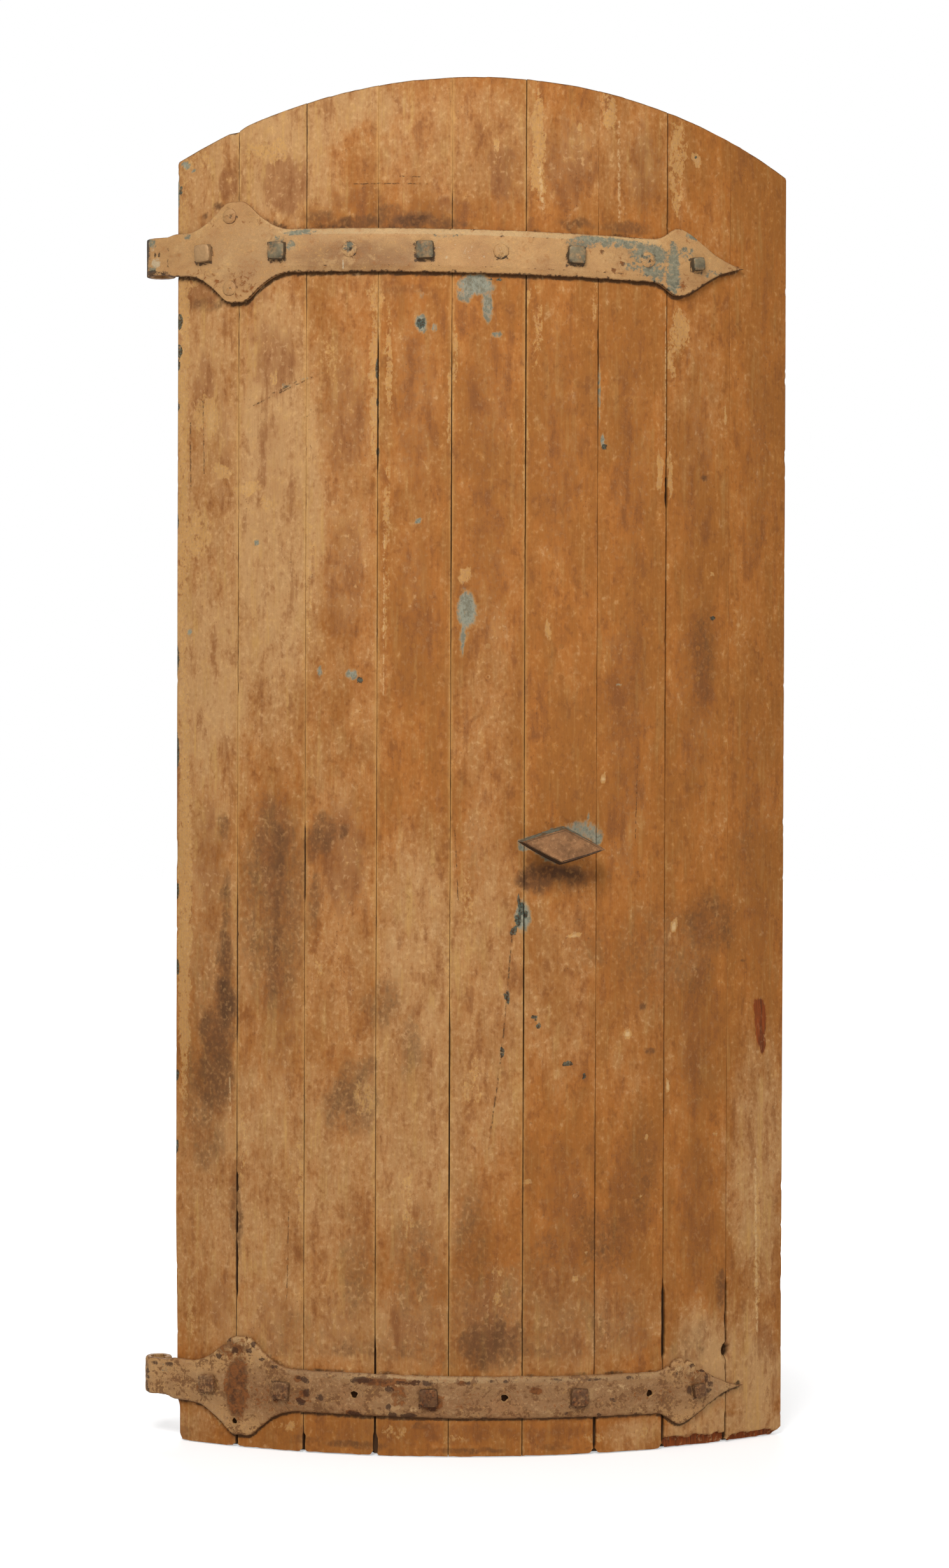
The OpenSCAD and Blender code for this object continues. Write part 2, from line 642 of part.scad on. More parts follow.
// Latch bar bent to the bow, with a drilled pivot and clipped corners on its tail
module latch_bar() {
  tail_deg = bar_tail / bar_out * PI_DEG;
  nose_deg = half_angle + arc_deg(bar_past_edge);
  clip = bar_h / 3;
  color([0.36, 0.34, 0.32]) difference() {
    sector(bar_in, bar_out, -tail_deg, nose_deg, bar_z - bar_h / 2, bar_z + bar_h / 2);
    rod(0, bar_z, bar_in - 10, bar_out + 10, pivot_d / 2 + running_gap);
    for (k = [-0.5, 0.5])
      facing(-tail_deg, bar_z + k * bar_h, bar_in - 10) rotate([0, 0, 45])
        linear_extrude(height = bar_t + 20) square([clip * sqrt(2), clip * sqrt(2)], center = true);
  }
}

// Headed pivot screw and the spacer that carries the bar off the boards
module latch_pivot() {
  color([0.36, 0.34, 0.32]) {
    rod(0, bar_z, pivot_head_out - pivot_head_t, pivot_head_out, pivot_head_d / 2);
    rod(0, bar_z, pivot_head_out - 1, back_radius + pivot_depth, pivot_d / 2);
  }
}

module pivot_spacer() {
  color([0.36, 0.34, 0.32]) facing(0, bar_z, bar_out + latch_gap) difference() {
    cylinder(h = bar_stand - latch_gap - 0.4, r = pivot_head_d / 2);
    translate([0, 0, -1]) cylinder(h = bar_stand + 2, r = pivot_d / 2 + shank_gap);
  }
}

// Bent strip that the bar rises and falls in, with a foot above and a foot below
module latch_guide() {
  low = guide_low - bar_z;
  high = guide_high - bar_z;
  foot_in = guide_seat - guide_t;
  bridge_in = guide_bridge - guide_t;
  color([0.36, 0.34, 0.32]) difference() {
    on_bow(guide_deg, bar_z) rotate([90, 0, 90]) linear_extrude(height = guide_w, center = true)
      polygon([
        [-guide_seat, low - guide_t - guide_foot], [-foot_in, low - guide_t - guide_foot],
        [-foot_in, low - guide_t], [-bridge_in, low - guide_t],
        [-bridge_in, high + guide_t], [-foot_in, high + guide_t],
        [-foot_in, high + guide_t + guide_foot], [-guide_seat, high + guide_t + guide_foot],
        [-guide_seat, high], [-guide_bridge, high], [-guide_bridge, low], [-guide_seat, low]
      ]);
    for (z = [guide_low - guide_screw_z, guide_high + guide_screw_z])
      rod(guide_deg, z, guide_bridge, back_radius + 5, nail_hole_r);
  }
}

module guide_screws() {
  head_out = guide_seat - guide_t;
  color([0.36, 0.34, 0.32]) for (z = [guide_low - guide_screw_z, guide_high + guide_screw_z]) {
    rod(guide_deg, z, head_out - nail_head_h, head_out, nail_head_d / 2);
    rod(guide_deg, z, head_out - 1, back_radius + pivot_depth, nail_d / 2);
  }
}

board_1();
board_2();
board_3();
board_4();
board_5();
board_6();
board_7();
board_8();
board_9();
upper_ledge();
middle_ledge();
lower_ledge();
upper_strap();
lower_strap();
upper_strap_eye();
lower_strap_eye();
upper_strap_bolts();
lower_strap_bolts();
upper_strap_washers();
lower_strap_washers();
upper_strap_nuts();
lower_strap_nuts();
upper_strap_screws();
upper_ledge_screws();
middle_ledge_nails();
lower_ledge_screws();
handle_knob();
latch_lifter();
spindle_nut();
latch_bar();
latch_pivot();
pivot_spacer();
latch_guide();
guide_screws();
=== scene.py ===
"""Dresses the arched door leaf: worn painted boards, forged straps, square bolts and the lozenge knob."""
import math

import bpy
import numpy as np
from mathutils import Matrix, Vector


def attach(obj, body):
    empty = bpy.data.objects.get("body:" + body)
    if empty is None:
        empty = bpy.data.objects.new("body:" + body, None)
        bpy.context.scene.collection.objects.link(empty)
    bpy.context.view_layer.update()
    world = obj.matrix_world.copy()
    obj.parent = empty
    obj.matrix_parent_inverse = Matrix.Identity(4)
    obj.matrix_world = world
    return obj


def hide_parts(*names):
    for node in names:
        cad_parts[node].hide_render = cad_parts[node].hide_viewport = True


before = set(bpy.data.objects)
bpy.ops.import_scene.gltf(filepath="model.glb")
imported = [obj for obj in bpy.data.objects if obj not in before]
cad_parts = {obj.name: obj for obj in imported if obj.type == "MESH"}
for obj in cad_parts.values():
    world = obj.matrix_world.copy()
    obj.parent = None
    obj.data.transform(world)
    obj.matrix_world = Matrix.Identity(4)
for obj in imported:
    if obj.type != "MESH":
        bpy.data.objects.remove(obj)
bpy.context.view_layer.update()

# Sizes of the leaf, in metres, as in the part's source
AXIS_X = 0.438318
AXIS_Y = 0.564963
FOOT = -0.08459
FACE_R = 0.725
BACK_R = 0.695
HALF = math.radians(35.0)
BOARDS = 9
BOARD_ANGLE = 2 * HALF / BOARDS
CROWN = 1.83
ARCH_R = 0.905
ARCH_SHIFT = -0.01
JOINT_GAP = 0.0008
EDGE_S = -HALF * FACE_R
# Tongue and groove: depths in the board where they start and end, and how far they reach past the joint
TONGUE_NEAR, TONGUE_FAR, TONGUE_REACH = 0.011, 0.019, 0.0068
GROOVE_NEAR, GROOVE_FAR, GROOVE_REACH = 0.0106, 0.0194, 0.0076
DRAFT = 0.0001
# Depths in the board where the front arris ends, where the back arris starts, and of the back
ARRIS_END = 0.006
BACK_ARRIS = 0.0285
BACK_DEPTH = 0.0299
# Finely divided lengths at the foot and at the head, and the height by which a board's edges are worn
FOOT_ZONE = 0.045
HEAD_ZONE = 0.012
EDGE_HEIGHT = 1.8

# The photograph's camera, in the part's frame
PHOTO_W = 1491
PHOTO_H = 2464
FOCAL_PX = 5160.57
SENSOR = 36.0
EYE = np.array([0.17671, -4.50369, 0.86478])
YAW = 0.0562
PITCH = -0.0126
ROLL = -0.0035


def camera_axes():
    """Right, up and forward of the photograph's camera."""
    side = np.array([math.cos(YAW), -math.sin(YAW), 0.0])
    ahead = np.array([math.sin(YAW), math.cos(YAW), 0.0])
    up = np.array([0.0, 0.0, 1.0])
    forward = math.cos(PITCH) * ahead + math.sin(PITCH) * up
    tall = -math.sin(PITCH) * ahead + math.cos(PITCH) * up
    right = math.cos(ROLL) * side - math.sin(ROLL) * tall
    return right, math.sin(ROLL) * side + math.cos(ROLL) * tall, forward


RIGHT, UP, FORWARD = camera_axes()


def spot(px, py):
    """Arc length from the middle, and height above the foot, where a photograph's pixel meets the bow."""
    across, down = (px - PHOTO_W / 2) / FOCAL_PX, (py - PHOTO_H / 2) / FOCAL_PX
    ray = FORWARD + RIGHT * across - UP * down
    ox, oy = EYE[0] - AXIS_X, EYE[1] - AXIS_Y
    a = ray[0] ** 2 + ray[1] ** 2
    b = ox * ray[0] + oy * ray[1]
    c = ox ** 2 + oy ** 2 - FACE_R ** 2
    t = (-b - math.sqrt(max(b * b - a * c, 0.0))) / a
    x, y, z = EYE + t * ray
    return math.atan2(x - AXIS_X, AXIS_Y - y) * FACE_R, z - FOOT


def on_bow(s, z, r):
    """Points at arc length s, height z above the foot and radius r."""
    angle = s / FACE_R
    return np.stack([AXIS_X + r * np.sin(angle), AXIS_Y - r * np.cos(angle), FOOT + z], axis=-1)


def smooth(lo, hi, x):
    """Smooth step from 0 at lo to 1 at hi."""
    t = np.clip((x - lo) / (hi - lo), 0.0, 1.0)
    return t * t * (3 - 2 * t)


def hashed(ix, iy, seed):
    """Fixed random value from 0 to 1 for each lattice point."""
    h = ix.astype(np.int64) * 374761393 + iy.astype(np.int64) * 668265263 + seed * 974634777
    h = h & 0xFFFFFFFF
    h = ((h ^ (h >> 13)) * 1274126177) & 0xFFFFFFFF
    return ((h ^ (h >> 16)) & 0xFFFFFF) / 0xFFFFFF


def noise(x, y, seed):
    """Smooth value noise from -1 to 1."""
    x, y = np.broadcast_arrays(np.asarray(x, float), np.asarray(y, float))
    ix, iy = np.floor(x), np.floor(y)
    fx, fy = x - ix, y - iy
    fx = fx * fx * (3 - 2 * fx)
    fy = fy * fy * (3 - 2 * fy)
    low = hashed(ix, iy, seed) * (1 - fx) + hashed(ix + 1, iy, seed) * fx
    high = hashed(ix, iy + 1, seed) * (1 - fx) + hashed(ix + 1, iy + 1, seed) * fx
    return 2 * (low * (1 - fy) + high * fy) - 1


def rough(x, y, seed):
    """Four octaves of the noise."""
    total, size, norm = 0.0, 1.0, 0.0
    for k in range(4):
        total = total + size * noise(x * 2 ** k, y * 2 ** k, seed + 17 * k)
        norm += size
        size *= 0.55
    return total / norm


# Marks on the boards: pixel of the photograph, half width, half height, strength in hundredths
DUST = [
    (300, 760, 120, 900, 60), (430, 800, 90, 420, 85), (430, 280, 110, 90, 75), (330, 1050, 90, 200, 80),
    (530, 760, 70, 330, 36), (540, 1080, 80, 240, 26), (720, 230, 190, 110, 42), (650, 700, 70, 260, 14),
    (760, 760, 70, 300, 8), (880, 640, 70, 260, 2), (430, 1850, 210, 230, 55), (650, 1760, 130, 260, 60),
    (660, 1500, 90, 220, 60), (770, 1560, 70, 320, 50), (330, 1950, 80, 160, 45), (1190, 1850, 50, 240, 62),
    (520, 1250, 60, 120, 30), (990, 1640, 110, 90, 16), (960, 240, 130, 100, 32), (760, 1130, 60, 200, 30),
    (500, 2080, 260, 90, 55), (850, 2080, 220, 90, 45), (1160, 2120, 60, 100, 55), (880, 1560, 60, 160, 35),
    (1090, 620, 50, 160, 18), (1060, 1500, 60, 60, 25), (560, 440, 90, 60, 30), (430, 200, 130, 60, 80),
    (560, 165, 100, 45, 70), (330, 260, 60, 40, 62), (430, 1480, 120, 260, 40), (540, 1480, 60, 240, 38),
    (340, 1480, 50, 260, 45), (1110, 2150, 60, 100, 95), (1190, 2180, 40, 110, 95), (1150, 2250, 110, 40, 120),
    (1000, 2255, 50, 25, 80), (300, 2240, 40, 40, 70),
]
WORN = [
    (447, 280, 42, 56, 115), (358, 287, 20, 28, 105), (320, 450, 40, 30, 90), (400, 470, 30, 25, 70),
    (560, 318, 60, 30, 62), (680, 330, 70, 26, 62), (790, 280, 28, 62, 72), (895, 260, 42, 90, 66),
    (1012, 270, 34, 80, 66), (430, 560, 44, 62, 70), (540, 650, 46, 120, 60), (322, 600, 18, 70, 72),
    (350, 700, 16, 120, 55), (655, 640, 40, 160, 55), (765, 660, 44, 160, 55), (880, 700, 44, 220, 50),
    (430, 720, 36, 90, 50), (540, 900, 40, 140, 55), (650, 980, 40, 160, 55), (770, 900, 36, 160, 50),
    (990, 700, 40, 260, 50), (1095, 760, 34, 260, 50), (1190, 700, 30, 260, 50), (330, 1340, 30, 120, 60),
    (430, 1350, 40, 140, 72), (540, 1340, 40, 110, 72), (440, 1600, 34, 120, 60), (1095, 1100, 36, 160, 62),
    (985, 1250, 40, 160, 55), (985, 1090, 44, 150, 66), (1190, 1350, 32, 260, 55), (1095, 1600, 34, 200, 60),
    (990, 1900, 40, 140, 62), (885, 1900, 40, 140, 60), (1095, 1900, 34, 160, 60), (770, 2060, 44, 90, 65),
    (650, 2090, 44, 60, 62), (540, 2090, 44, 60, 60), (430, 2070, 40, 60, 58), (885, 2110, 44, 40, 62),
    (990, 2100, 44, 40, 62), (700, 2255, 300, 20, 62), (345, 2040, 26, 60, 55),
]
DARK = [
    (352, 1300, 10, 30, 60), (355, 1420, 9, 60, 62), (353, 1500, 11, 50, 90), (352, 1570, 20, 60, 95),
    (340, 1640, 24, 50, 90), (338, 1720, 24, 50, 75), (355, 1660, 14, 40, 80), (440, 1335, 12, 40, 78),
    (436, 1400, 12, 40, 62), (437, 1455, 11, 50, 78), (428, 1530, 8, 50, 62), (395, 1480, 30, 80, 36),
    (538, 1305, 10, 14, 82), (510, 1310, 22, 34, 66), (495, 1420, 10, 60, 60), (565, 1735, 30, 56, 62),
    (525, 1735, 20, 40, 62), (645, 1650, 22, 60, 50), (330, 1600, 50, 240, 34), (430, 1420, 60, 200, 54),
    (800, 2060, 260, 110, 36), (770, 2112, 70, 42, 84), (700, 2122, 330, 22, 44), (600, 1580, 40, 50, 50),
    # The marks at (880, 1375), (834, 1378) and (850, 1384) are painted shadow under the knob, with grime
    (1107, 1033, 24, 100, 55), (1114, 1452, 52, 58, 58), (945, 1950, 46, 60, 55), (880, 1375, 62, 22, 100),
    (834, 1378, 26, 22, 95), (850, 1384, 28, 22, 90), (1132, 2018, 9, 38, 75), (560, 350, 60, 12, 85),
    (650, 346, 50, 14, 95), (700, 352, 40, 10, 75), (905, 352, 34, 12, 70), (985, 358, 44, 12, 70),
    (500, 340, 30, 14, 60), (610, 335, 30, 16, 60), (300, 1720, 14, 110, 50), (370, 1900, 12, 80, 65),
    (470, 2090, 60, 36, 35), (640, 2110, 120, 30, 35), (860, 2000, 50, 80, 40), (960, 2070, 60, 50, 40),
    (1010, 1830, 30, 110, 40), (1100, 1690, 34, 60, 28), (320, 480, 40, 12, 60), (640, 456, 60, 8, 45),
    (560, 1960, 40, 90, 35), (1085, 2110, 40, 40, 40), (1170, 1330, 20, 100, 35), (930, 1480, 40, 60, 35),
    (745, 1335, 24, 90, 30), (820, 2130, 200, 12, 35), (420, 2120, 60, 14, 35), (560, 2270, 60, 8, 60),
    (730, 2280, 80, 6, 60), (660, 2240, 16, 8, 60), (870, 2275, 40, 8, 50), (290, 2250, 10, 12, 50),
    (480, 2262, 40, 8, 50), (322, 340, 10, 6, 85), (341, 324, 9, 6, 85), (394, 333, 10, 9, 65),
    (414, 350, 14, 8, 72), (440, 357, 20, 5, 72), (338, 1620, 34, 50, 82), (335, 1700, 36, 60, 80),
    (325, 1790, 30, 60, 52), (437, 1340, 13, 60, 86), (433, 1430, 12, 50, 78), (434, 1484, 11, 56, 82),
    (428, 1540, 8, 40, 66), (500, 1325, 26, 30, 72), (550, 1722, 40, 56, 66), (578, 1682, 20, 30, 60),
    (1040, 1500, 95, 110, 40), (1008, 1580, 8, 8, 90), (1022, 1650, 10, 6, 80), (1165, 1510, 14, 2, 90),
    (1106, 752, 7, 6, 95), (1095, 1500, 34, 120, 38), (650, 1990, 44, 120, 44), (740, 1960, 36, 120, 44),
    (560, 2000, 36, 100, 42),
]
BARE = [
    (288, 700, 12, 560, 72), (290, 1400, 13, 420, 80), (300, 420, 22, 60, 55), (331, 656, 13, 36, 85),
    (588, 620, 9, 150, 70), (708, 640, 6, 86, 70), (430, 596, 7, 20, 65), (1067, 228, 18, 56, 62),
    (1070, 520, 20, 50, 66), (1036, 745, 7, 46, 80), (1053, 745, 6, 46, 72), (856, 296, 7, 40, 60),
    (420, 236, 50, 22, 70), (320, 250, 30, 20, 55), (1093, 250, 9, 13, 85), (605, 940, 8, 120, 55),
    (486, 900, 7, 160, 52), (826, 700, 6, 160, 48), (832, 470, 10, 40, 48), (1190, 1950, 7, 160, 66),
    (572, 1726, 24, 36, 58), (700, 1500, 12, 60, 52), (735, 1420, 12, 80, 50), (862, 992, 6, 30, 70),
    (470, 1850, 8, 90, 60), (640, 1890, 14, 70, 54), (520, 560, 22, 60, 46), (382, 1800, 7, 90, 55),
    (740, 1700, 22, 60, 52), (300, 2060, 10, 60, 55), (1059, 1454, 6, 14, 100), (1140, 655, 3, 18, 90),
    (987, 1624, 9, 8, 100), (1050, 1706, 5, 12, 95), (1015, 1788, 3, 8, 95), (1125, 1781, 4, 6, 90),
    (946, 1220, 5, 15, 100), (903, 1469, 14, 5, 95), (1120, 901, 5, 5, 80), (910, 200, 5, 11, 80),
    (780, 228, 7, 13, 80), (500, 1500, 26, 46, 45), (780, 2010, 12, 60, 50), (590, 460, 20, 24, 55),
    (840, 560, 8, 60, 50), (846, 234, 14, 105, 78), (958, 176, 15, 40, 72), (1064, 270, 16, 90, 62),
    (620, 2250, 30, 12, 50), (700, 2262, 40, 10, 50), (450, 2240, 30, 14, 50), (340, 2230, 20, 16, 50),
    (659, 2042, 3, 6, 95), (789, 2049, 3, 6, 95), (903, 2012, 4, 7, 95), (920, 1969, 6, 4, 90),
    (675, 1922, 4, 4, 95), (1007, 1878, 4, 5, 95), (829, 1857, 12, 4, 85), (350, 742, 20, 16, 80),
    (390, 768, 28, 14, 82), (420, 790, 18, 12, 72), (310, 840, 24, 50, 72), (318, 650, 18, 40, 66),
    (611, 570, 9, 115, 70), (608, 800, 8, 110, 60), (846, 520, 10, 60, 62), (730, 905, 14, 20, 78),
    (716, 560, 6, 60, 60), (1056, 560, 8, 70, 60), (935, 470, 6, 60, 55), (590, 500, 9, 60, 62),
    (820, 2262, 30, 10, 45), (940, 2258, 30, 10, 55), (1010, 2250, 20, 12, 50), (296, 262, 12, 8, 90),
]
TEAL = [
    (748, 448, 34, 18, 100), (821, 1440, 15, 30, 95), (766, 480, 12, 30, 80), (730, 462, 16, 16, 75),
    (661, 508, 11, 18, 95), (684, 512, 4, 13, 95), (780, 525, 12, 6, 75), (733, 958, 18, 36, 100),
    (727, 1000, 6, 36, 85), (657, 817, 8, 6, 85), (402, 853, 5, 6, 85), (298, 992, 5, 7, 90),
    (502, 1055, 6, 9, 85), (552, 1060, 12, 9, 90), (974, 1075, 5, 5, 80), (914, 1307, 38, 20, 82),
    (938, 1318, 10, 14, 86), (926, 1284, 3, 10, 75), (822, 1334, 14, 6, 78), (948, 692, 5, 14, 90),
    (942, 610, 3, 70, 55), (450, 606, 14, 4, 62), (480, 594, 12, 4, 60), (292, 261, 9, 8, 95),
    (304, 268, 5, 4, 85), (280, 305, 3, 36, 75), (660, 460, 8, 14, 55),
]
GREEN = [
    (813, 1403, 3, 10, 100), (815, 1417, 4, 12, 100), (820, 1428, 5, 12, 100), (826, 1438, 5, 8, 90),
    (814, 1446, 6, 12, 100), (807, 1463, 5, 10, 100), (797, 1565, 4, 16, 90), (789, 1655, 4, 12, 90),
    (840, 1598, 5, 6, 95), (845, 1612, 4, 5, 95), (918, 1690, 4, 5, 95), (893, 1671, 10, 4, 100),
    (950, 702, 5, 6, 100), (661, 508, 8, 12, 100), (566, 1068, 7, 6, 85), (281, 505, 7, 14, 100),
    (281, 550, 6, 12, 95), (279, 575, 4, 8, 90), (279, 640, 4, 10, 90), (278, 1035, 4, 26, 95),
    (278, 1180, 4, 32, 95), (279, 1520, 4, 14, 90), (593, 580, 3, 20, 85), (593, 632, 3, 8, 90),
    (593, 710, 3, 10, 85), (284, 300, 4, 10, 80), (278, 820, 4, 16, 85), (278, 1400, 4, 18, 85),
    (278, 1690, 4, 12, 85), (278, 1800, 4, 14, 80), (1120, 972, 4, 5, 85), (785, 438, 10, 3, 85),
    (1093, 247, 3, 3, 120), (770, 440, 6, 3, 80),
]
RAW = [
    (1195, 1605, 10, 44, 95), (1198, 1640, 5, 20, 90), (1190, 1580, 8, 20, 70),
]
# Cracks and pale scratches: two pixels, and the width in metres
CRACKS = [
    (400, 635, 510, 583, 0.0017), (430, 617, 466, 598, 0.0028), (557, 287, 675, 287, 0.0012),
    (630, 275, 662, 276, 0.0011), (300, 640, 301, 772, 0.0016), (320, 628, 322, 742, 0.0014),
    (806, 1470, 797, 1580, 0.0018), (797, 1580, 788, 1668, 0.0016), (788, 1668, 768, 1812, 0.0014),
    (716, 1300, 722, 1420, 0.0009), (455, 1900, 452, 2040, 0.001), (1004, 1180, 1000, 1330, 0.0009),
]
PALE_LINES = [
    (974, 190, 975, 345, 0.0032), (362, 1692, 364, 1762, 0.0022), (1188, 1820, 1191, 2090, 0.003),
    (850, 262, 856, 332, 0.0034), (1048, 480, 1047, 700, 0.0016), (605, 820, 604, 1090, 0.0014),
]

# Joints that have opened: joint number, pixel heights between which, extra width in metres
OPENED = [
    (1, 1850, 1880, 0.0024), (1, 1912, 1948, 0.003), (1, 1962, 2052, 0.0026), (1, 1400, 1640, 0.0008),
    (2, 1300, 1420, 0.001), (3, 545, 760, 0.0008), (3, 2120, 2290, 0.002),
    (4, 560, 930, 0.0004), (4, 1600, 1900, 0.0008), (5, 430, 900, 0.0005), (5, 1440, 1720, 0.0008),
    (6, 520, 690, 0.0004), (6, 2230, 2290, 0.0034), (7, 738, 790, 0.0036), (7, 2036, 2154, 0.005),
    (7, 2222, 2290, 0.004), (8, 2028, 2134, 0.003), (8, 2246, 2290, 0.003), (2, 2266, 2292, 0.0026),
    (1, 2258, 2292, 0.0034), (3, 2262, 2292, 0.0056), (7, 480, 1180, 0.0006),
]
# Share of each joint that old paint fills; joint 8 is full above a height over the foot
JOINT_FILL = {1: 0.65, 2: 0.8, 3: 0.65, 4: 0.55, 5: 0.3, 6: 0.85, 7: 0.4, 8: 0.3}
FILLED_ABOVE = 0.54
# Height of the notches at the foot, by joint, and of the face broken away there, by board
FOOT_NOTCHES = {1: 0.0035, 2: 0.0035, 3: 0.006, 6: 0.006, 7: 0.006, 8: 0.0035}
BROKEN_FOOT = {7: 0.014, 8: 0.0095}
# Pixel of the knot hole in the last joint
KNOT_PX = (1141, 2122)
# How each attribute of the boards is drawn: marks, seed, and how far the outlines wander
BOARD_MARKS = {
    "dust": (DUST, 11, (0.012, 0.03)), "worn": (WORN, 15, (0.012, 0.03)), "dark": (DARK, 21, (0.008, 0.02)),
    "bare": (BARE, 31, (0.004, 0.01)), "teal": (TEAL, 41, (0.002, 0.004)), "green": (GREEN, 51, (0.0015, 0.003)),
    "raw": (RAW, 61, (0.002, 0.005)),
}


def field(marks, s, z, seed, warp):
    """Largest strength of the marks at each point, with ragged outlines."""
    jag_s = rough(s / 0.014, z / 0.024, seed)
    jag_z = rough(s / 0.014 + 9.0, z / 0.024, seed + 5)
    lo, hi = s.min() - 0.02, s.max() + 0.02
    out = np.zeros_like(s)
    for px, py, half_w, half_h, strength in marks:
        s0, z0 = spot(px, py)
        reach = (spot(px + half_w, py)[0] - spot(px - half_w, py)[0]) / 2
        rise = spot(px, py - half_h)[1] - z0
        if s0 + 1.4 * reach < lo or s0 - 1.4 * reach > hi:
            continue
        bend_s, bend_z = min(warp[0], 0.7 * reach), min(warp[1], 0.7 * rise)
        distance = np.hypot((s + bend_s * jag_s - s0) / reach, (z + bend_z * jag_z - z0) / rise)
        out = np.maximum(out, strength / 100 * smooth(1.35, 0.45, distance))
    return out


def add_object(name, data):
    """New object in the scene."""
    obj = bpy.data.objects.new(name, data)
    bpy.context.scene.collection.objects.link(obj)
    return obj


def make_mesh(name, points, faces, values, materials, crease, face_slots=None):
    """Mesh object with smooth faces, point attributes and materials."""
    mesh = bpy.data.meshes.new(name)
    mesh.from_pydata(points.tolist(), [], faces)
    for key, array in values.items():
        kind, part = ("FLOAT_VECTOR", "vector") if array.ndim == 2 else ("FLOAT", "value")
        mesh.attributes.new(key, kind, "POINT").data.foreach_set(part, array.astype(np.float32).ravel())
    for material in materials:
        mesh.materials.append(material)
    if face_slots is not None:
        mesh.polygons.foreach_set("material_index", np.asarray(face_slots, np.int32))
    mesh.validate()
    mesh.shade_smooth()
    mesh.set_sharp_from_angle(angle=math.radians(crease))
    return add_object(name, mesh)


def flat_place(s, z, own):
    """Values of the flat attribute: arc length, height and the piece's own number."""
    return np.stack([s, z, np.full_like(s, own)], axis=1)


def hand_over(obj, body, slot, *nodes):
    """Attaches a piece to the body that it rides on and hides the CAD nodes that it replaces; the slot argument is
    not used.
    """
    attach(obj, body)
    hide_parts(*nodes)


def tube_faces(rows, cols, caps=True):
    """Quads of a closed ring swept over rows, with an end face at each end."""
    faces = []
    for a in range(0, (rows - 1) * cols, cols):
        for j in range(cols):
            k = (j + 1) % cols
            faces.append((a + j, a + k, a + cols + k, a + cols + j))
    if caps:
        faces.append(tuple(reversed(range(cols))))
        faces.append(tuple(range((rows - 1) * cols, rows * cols)))
    return faces


def linear(*rgb):
    """Colour written in 8-bit display values."""
    shares = [v / 255 for v in rgb]
    return tuple(v / 12.92 if v <= 0.04045 else ((v + 0.055) / 1.055) ** 2.4 for v in shares) + (1.0,)


class Shader:
    """Builds one node tree. An input that is a socket is linked, and a word is a point attribute."""

    def __init__(self, tree):
        self.tree = tree
        tree.nodes.clear()

    def node(self, kind, inputs=None, **settings):
        node = self.tree.nodes.new("ShaderNode" + kind)
        for key, setting in settings.items():
            setattr(node, key, setting)
        for key, value in (inputs or {}).items():
            if isinstance(value, str):
                value = self.node("Attribute", attribute_name=value).outputs["Fac"]
            if isinstance(value, bpy.types.NodeSocket):
                self.tree.links.new(value, node.inputs[key])
            else:
                node.inputs[key].default_value = value
        return node

    def place(self):
        return self.node("TexCoord").outputs["Object"]

    def vectors(self, operation, a, b, output=0):
        return self.node("VectorMath", {0: a, 1: b}, operation=operation).outputs[output]

    def math(self, operation, a, b):
        return self.node("Math", {0: a, 1: b}, operation=operation).outputs[0]

    def times(self, a, b):
        return self.math("MULTIPLY", a, b)

    def add(self, base, *terms):
        """base plus, for each term and its weight, weight times (term minus a half)."""
        for term, weight in zip(terms[::2], terms[1::2]):
            base = self.math("ADD", base, self.times(self.math("SUBTRACT", term, 0.5), weight))
        return base

    def ramp(self, value, lo, hi, low=0.0, high=1.0):
        inputs = {"Value": value, "From Min": lo, "From Max": hi, "To Min": low, "To Max": high}
        return self.node("MapRange", inputs, interpolation_type="SMOOTHSTEP").outputs[0]


class Paint(Shader):
    """A material around a single surface shader."""

    def __init__(self, name):
        self.material = bpy.data.materials.new(name)
        self.material.use_nodes = True
        super().__init__(self.material.node_tree)
        self.colour = None

    def flat(self):
        return self.node("Attribute", attribute_name="flat").outputs["Vector"]

    def noise(self, vector, scale, detail, roughness, bend=0.0):
        inputs = {"Vector": self.vectors("MULTIPLY", vector, scale), "Scale": 1.0, "Detail": detail,
                  "Roughness": roughness, "Distortion": bend}
        return self.node("TexNoise", inputs).outputs["Fac"]

    def mix(self, amount, a, b):
        return self.node("Mix", {0: amount, 6: a, 7: b}, data_type="RGBA").outputs[2]

    def coat(self, mask, paint, share=None):
        """Lays a coat, or a share of it, over the colour so far where the mask is."""
        self.colour = self.mix(mask if share is None else self.times(mask, share), self.colour, paint)

    def tint(self, colour, factor):
        """Colour times a grey factor."""
        return self.node("VectorMath", {0: colour, "Scale": factor}, operation="SCALE").outputs[0]

    def shade(self, factor):
        """Multiplies the colour so far by a grey factor."""
        self.colour = self.tint(self.colour, factor)

    def line(self, face, start, end, width):
        """Mask of a thin line between two points of the face."""
        length = math.hypot(end[0] - start[0], end[1] - start[1])
        run = ((end[0] - start[0]) / length, (end[1] - start[1]) / length, 0.0)
        offset = self.vectors("SUBTRACT", face, start + (0.0,))
        along = self.vectors("DOT_PRODUCT", offset, run, "Value")
        foot = self.tint(run, self.math("MINIMUM", self.math("MAXIMUM", along, 0.0), length))
        gap = self.vectors("DISTANCE", offset, foot, "Value")
        return self.ramp(gap, width * 0.9, width * 0.25)

    def finish(self, roughness, relief, depth, metallic=0.0, specular=0.3):
        """Closes the material; relief is bumped by a strength and a distance."""
        bump = self.node("Bump", {"Strength": depth[0], "Distance": depth[1], "Height": relief})
        surface = self.node("BsdfPrincipled", {
            "Base Color": self.colour, "Roughness": roughness, "Metallic": metallic,
            "Specular IOR Level": specular, "Normal": bump.outputs[0]})
        self.node("OutputMaterial", {0: surface.outputs[0]})
        return self.material


